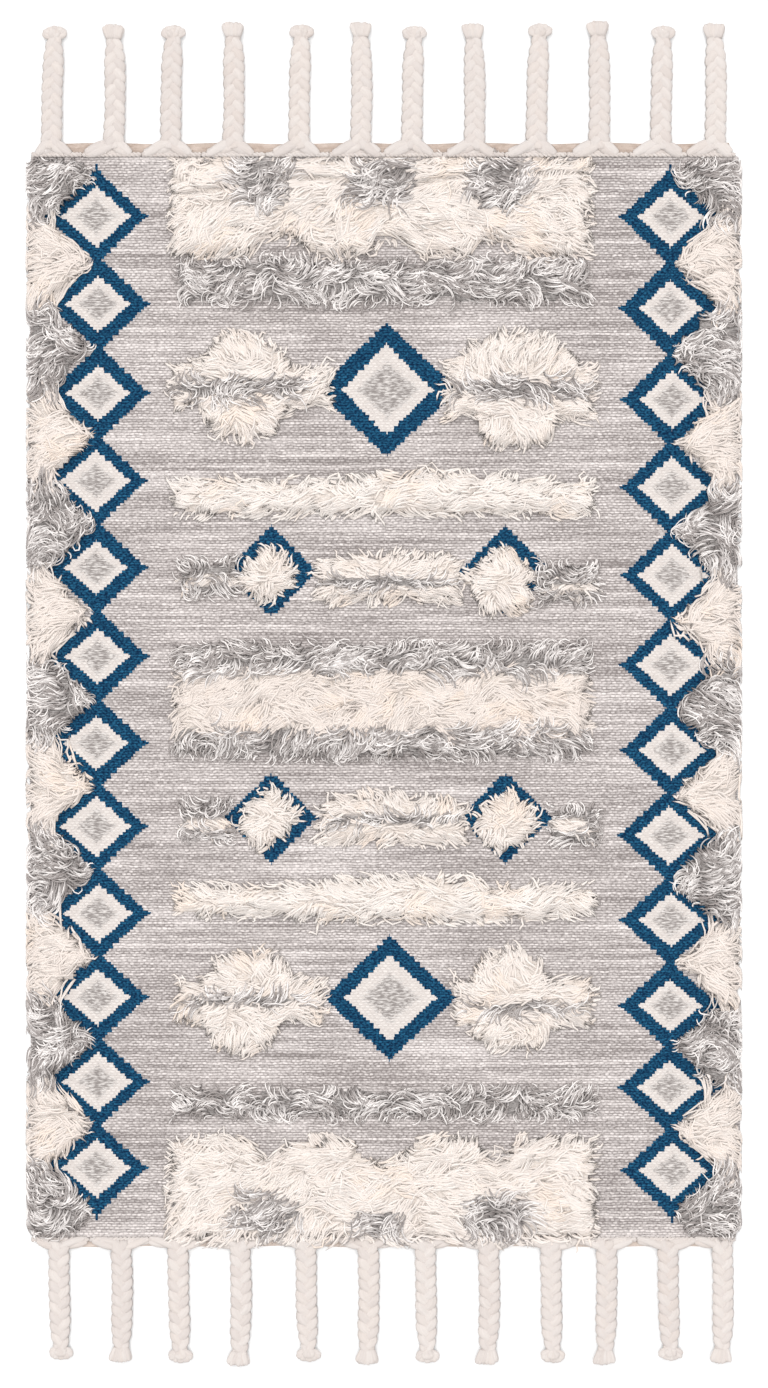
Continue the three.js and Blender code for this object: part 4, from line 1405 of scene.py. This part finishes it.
def tassel_tip(rng, plait, start, knob):
    """The cut ends of the roving beyond the neck: a knob of soft lobes, or a brush that flares."""
    length = plait.end - start
    neck_y = length - PLAIT_NECK + TIP_NECK
    share = np.array(TIP_POINTS)
    blunt = np.sqrt(1 - (np.clip(share - TIP_ROUNDING, 0, 1) / (1 - TIP_ROUNDING)) ** 2)
    number = np.arange(TIP_ROLLS)
    if knob:
        inner = number % 3 == 0
        by_chance = rng.uniform(*KNOB_STRAY, TIP_ROLLS)
        around = np.radians(KNOB_START + KNOB_SWEEP * (number + by_chance) / TIP_ROLLS)
        reach = np.where(inner, KNOB_INNER_REACH, 1) * rng.uniform(*KNOB_REACHES, TIP_ROLLS)
        x = (reach * KNOB_HALF_WIDTH * np.cos(around))[:, None] * share
        y = (KNOB_LENGTH + reach * KNOB_BULGE * np.sin(around))[:, None] * share
        y = neck_y + KNOB_OFFSET + y
        z = TIP_HEIGHT + np.where(inner, *KNOB_LIFTS)[:, None] * share
        root_fat, more_fat = KNOB_FAT
    else:
        side = np.linspace(-1, 1, TIP_ROLLS) + rng.uniform(-BRUSH_STRAY, BRUSH_STRAY, TIP_ROLLS)
        x = side[:, None] * (BRUSH_HALF_WIDTH + BRUSH_FLARE * share)
        reach = BRUSH_LENGTH - BRUSH_ARCH * side ** 2 - rng.uniform(0, BRUSH_UNEVEN, TIP_ROLLS)
        y = neck_y + reach[:, None] * share
        lift = BRUSH_LIFT_START + (1 - BRUSH_LIFT_START) * share
        z = TIP_HEIGHT + np.where(number % 2 == 0, *BRUSH_LIFTS)[:, None] * lift
        root_fat, more_fat = BRUSH_FAT
    middle = plait_line(plait, start, y / length)
    lines = np.stack([middle[..., 0] + x, middle[..., 1], np.maximum(z, TIP_LEAST_HEIGHT)], axis=2)
    girth = rng.uniform(*TIP_GIRTHS, TIP_ROLLS)[:, None]
    return lines, TIP_RADIUS * (root_fat + more_fat * share) * blunt * girth


def flipped(lines, sign):
    """Lines of the top end, turned over to the bottom end where the sign is negative."""
    return lines * np.array([1, sign, 1])


def tassel(rng, name, node, plait, span, sign, start, legs, knob, finish):
    """A plait with its legs, its share of the edge cord and its tip, in one mesh."""
    meshes = []
    for (lines, radii), sides, flat in (
        (tassel_strands(rng, plait, start), PLAIT_SIDES, PLAIT_FLATNESS),
        (tassel_legs(rng, plait, start, legs), PLAIT_SIDES, LEG_FLATNESS),
        (edge_cord(*span, start, legs.fall), CORD_SIDES, 1),
        (tassel_tip(rng, plait, start, knob), TIP_SIDES, 1),
    ):
        tones = rng.uniform(*ROVING_TONES, len(lines))
        stains = rng.uniform(0, ROVING_STAIN, len(lines)) ** 2
        meshes.append(sweep(name, flipped(lines, sign), radii, tones, stains, sides, flat))
    joined = bmesh.new()
    for mesh in meshes:
        joined.from_mesh(mesh)
    final = bpy.data.meshes.new(name)
    joined.to_mesh(final)
    joined.free()
    for mesh in meshes:
        bpy.data.meshes.remove(mesh)
    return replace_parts(new_piece(name, final, finish), node)


def tassels(rng, finish):
    """All the tassels. Every second one has a knob, and the others a brush."""
    pieces = []
    for end, row, sign, start, legs in (
        ("top", TOP_PLAITS, 1, PLAIT_START_TOP, TOP_LEGS),
        ("bottom", BOTTOM_PLAITS, -1, PLAIT_START_BOTTOM, BOTTOM_LEGS),
    ):
        roots = [plait.root for plait in row]
        bounds = [-CORD_END] + [(a + b) / 2 for a, b in zip(roots, roots[1:])] + [CORD_END]
        for number, plait in enumerate(row, 1):
            node = f"tassel_{end}_{number:02d}"
            span = bounds[number - 1:number + 1]
            pieces.append(tassel(rng, f"plaited_{node}", node, plait, span, sign, start, legs,
                                 number % 2 == 1, finish))
    return pieces


def pale_floor():
    floor = bmesh.new()
    bmesh.ops.create_grid(floor, x_segments=1, y_segments=1, size=FLOOR_HALF)
    bmesh.ops.translate(floor, verts=floor.verts, vec=(0, 0, -FLOOR_DROP * MM))
    mesh = bpy.data.meshes.new("pale_floor")
    floor.to_mesh(mesh)
    floor.free()
    white = Finish("pale_floor", roughness=1.0, gloss=0.0)
    white.paint(FLOOR_WHITE)
    mesh.materials.append(white.material)
    piece = placed("pale_floor", mesh)


def soft_sun(name, sun):
    light = bpy.data.lights.new(name, "SUN")
    light.energy = sun.strength
    light.angle = math.radians(sun.spread)
    placed(name, light).rotation_euler = [math.radians(angle) for angle in sun.turned]


def studio_light():
    """An even white dome, a broad light from straight above and a weaker one from the rug's top end."""
    world = bpy.data.worlds.new("studio")
    bpy.context.scene.world = world
    world.use_nodes = True
    dome = world.node_tree.nodes["Background"]
    dome.inputs["Color"].default_value = (1, 1, 1, 1)
    dome.inputs["Strength"].default_value = DOME_STRENGTH
    soft_sun("overhead", OVERHEAD_SUN)
    soft_sun("key", KEY_SUN)
    bpy.context.scene.view_settings.view_transform = "Standard"


def camera_above():
    """Straight above the rug, far enough off to see it nearly without perspective."""
    lens = bpy.data.cameras.new("camera")
    lens.lens = LENS
    lens.sensor_width = SENSOR
    camera = placed("camera", lens)
    height = FRAME_LENGTH / 2 * LENS / (SENSOR / 2)
    camera.location = (0, FRAME_MIDDLE_Y * MM, height * MM)
    bpy.context.scene.camera = camera


def main():
    camera_above()
    rng = np.random.default_rng(SEED)
    finishes = {
        "ivory_pile": pile_wool("ivory_pile", IVORY_SHADES),
        "grey_pile": pile_wool("grey_pile", GREY_SHADES),
    }
    ground = woven_ground(ground_weave())
    strip = heading_weave()
    headings = [
        heading("heading_top_strip", 1, GROUND_TOP, PLAIT_START_TOP - GAP, strip),
        heading("heading_bottom_strip", -1, GROUND_BOTTOM, PLAIT_START_BOTTOM - GAP, strip),
    ]
    pile = root_beds(bed_wool()) + field_shag(rng, finishes) + border_shag(rng, finishes)
    plaits = tassels(rng, plait_wool())
    pale_floor()
    studio_light()


main()
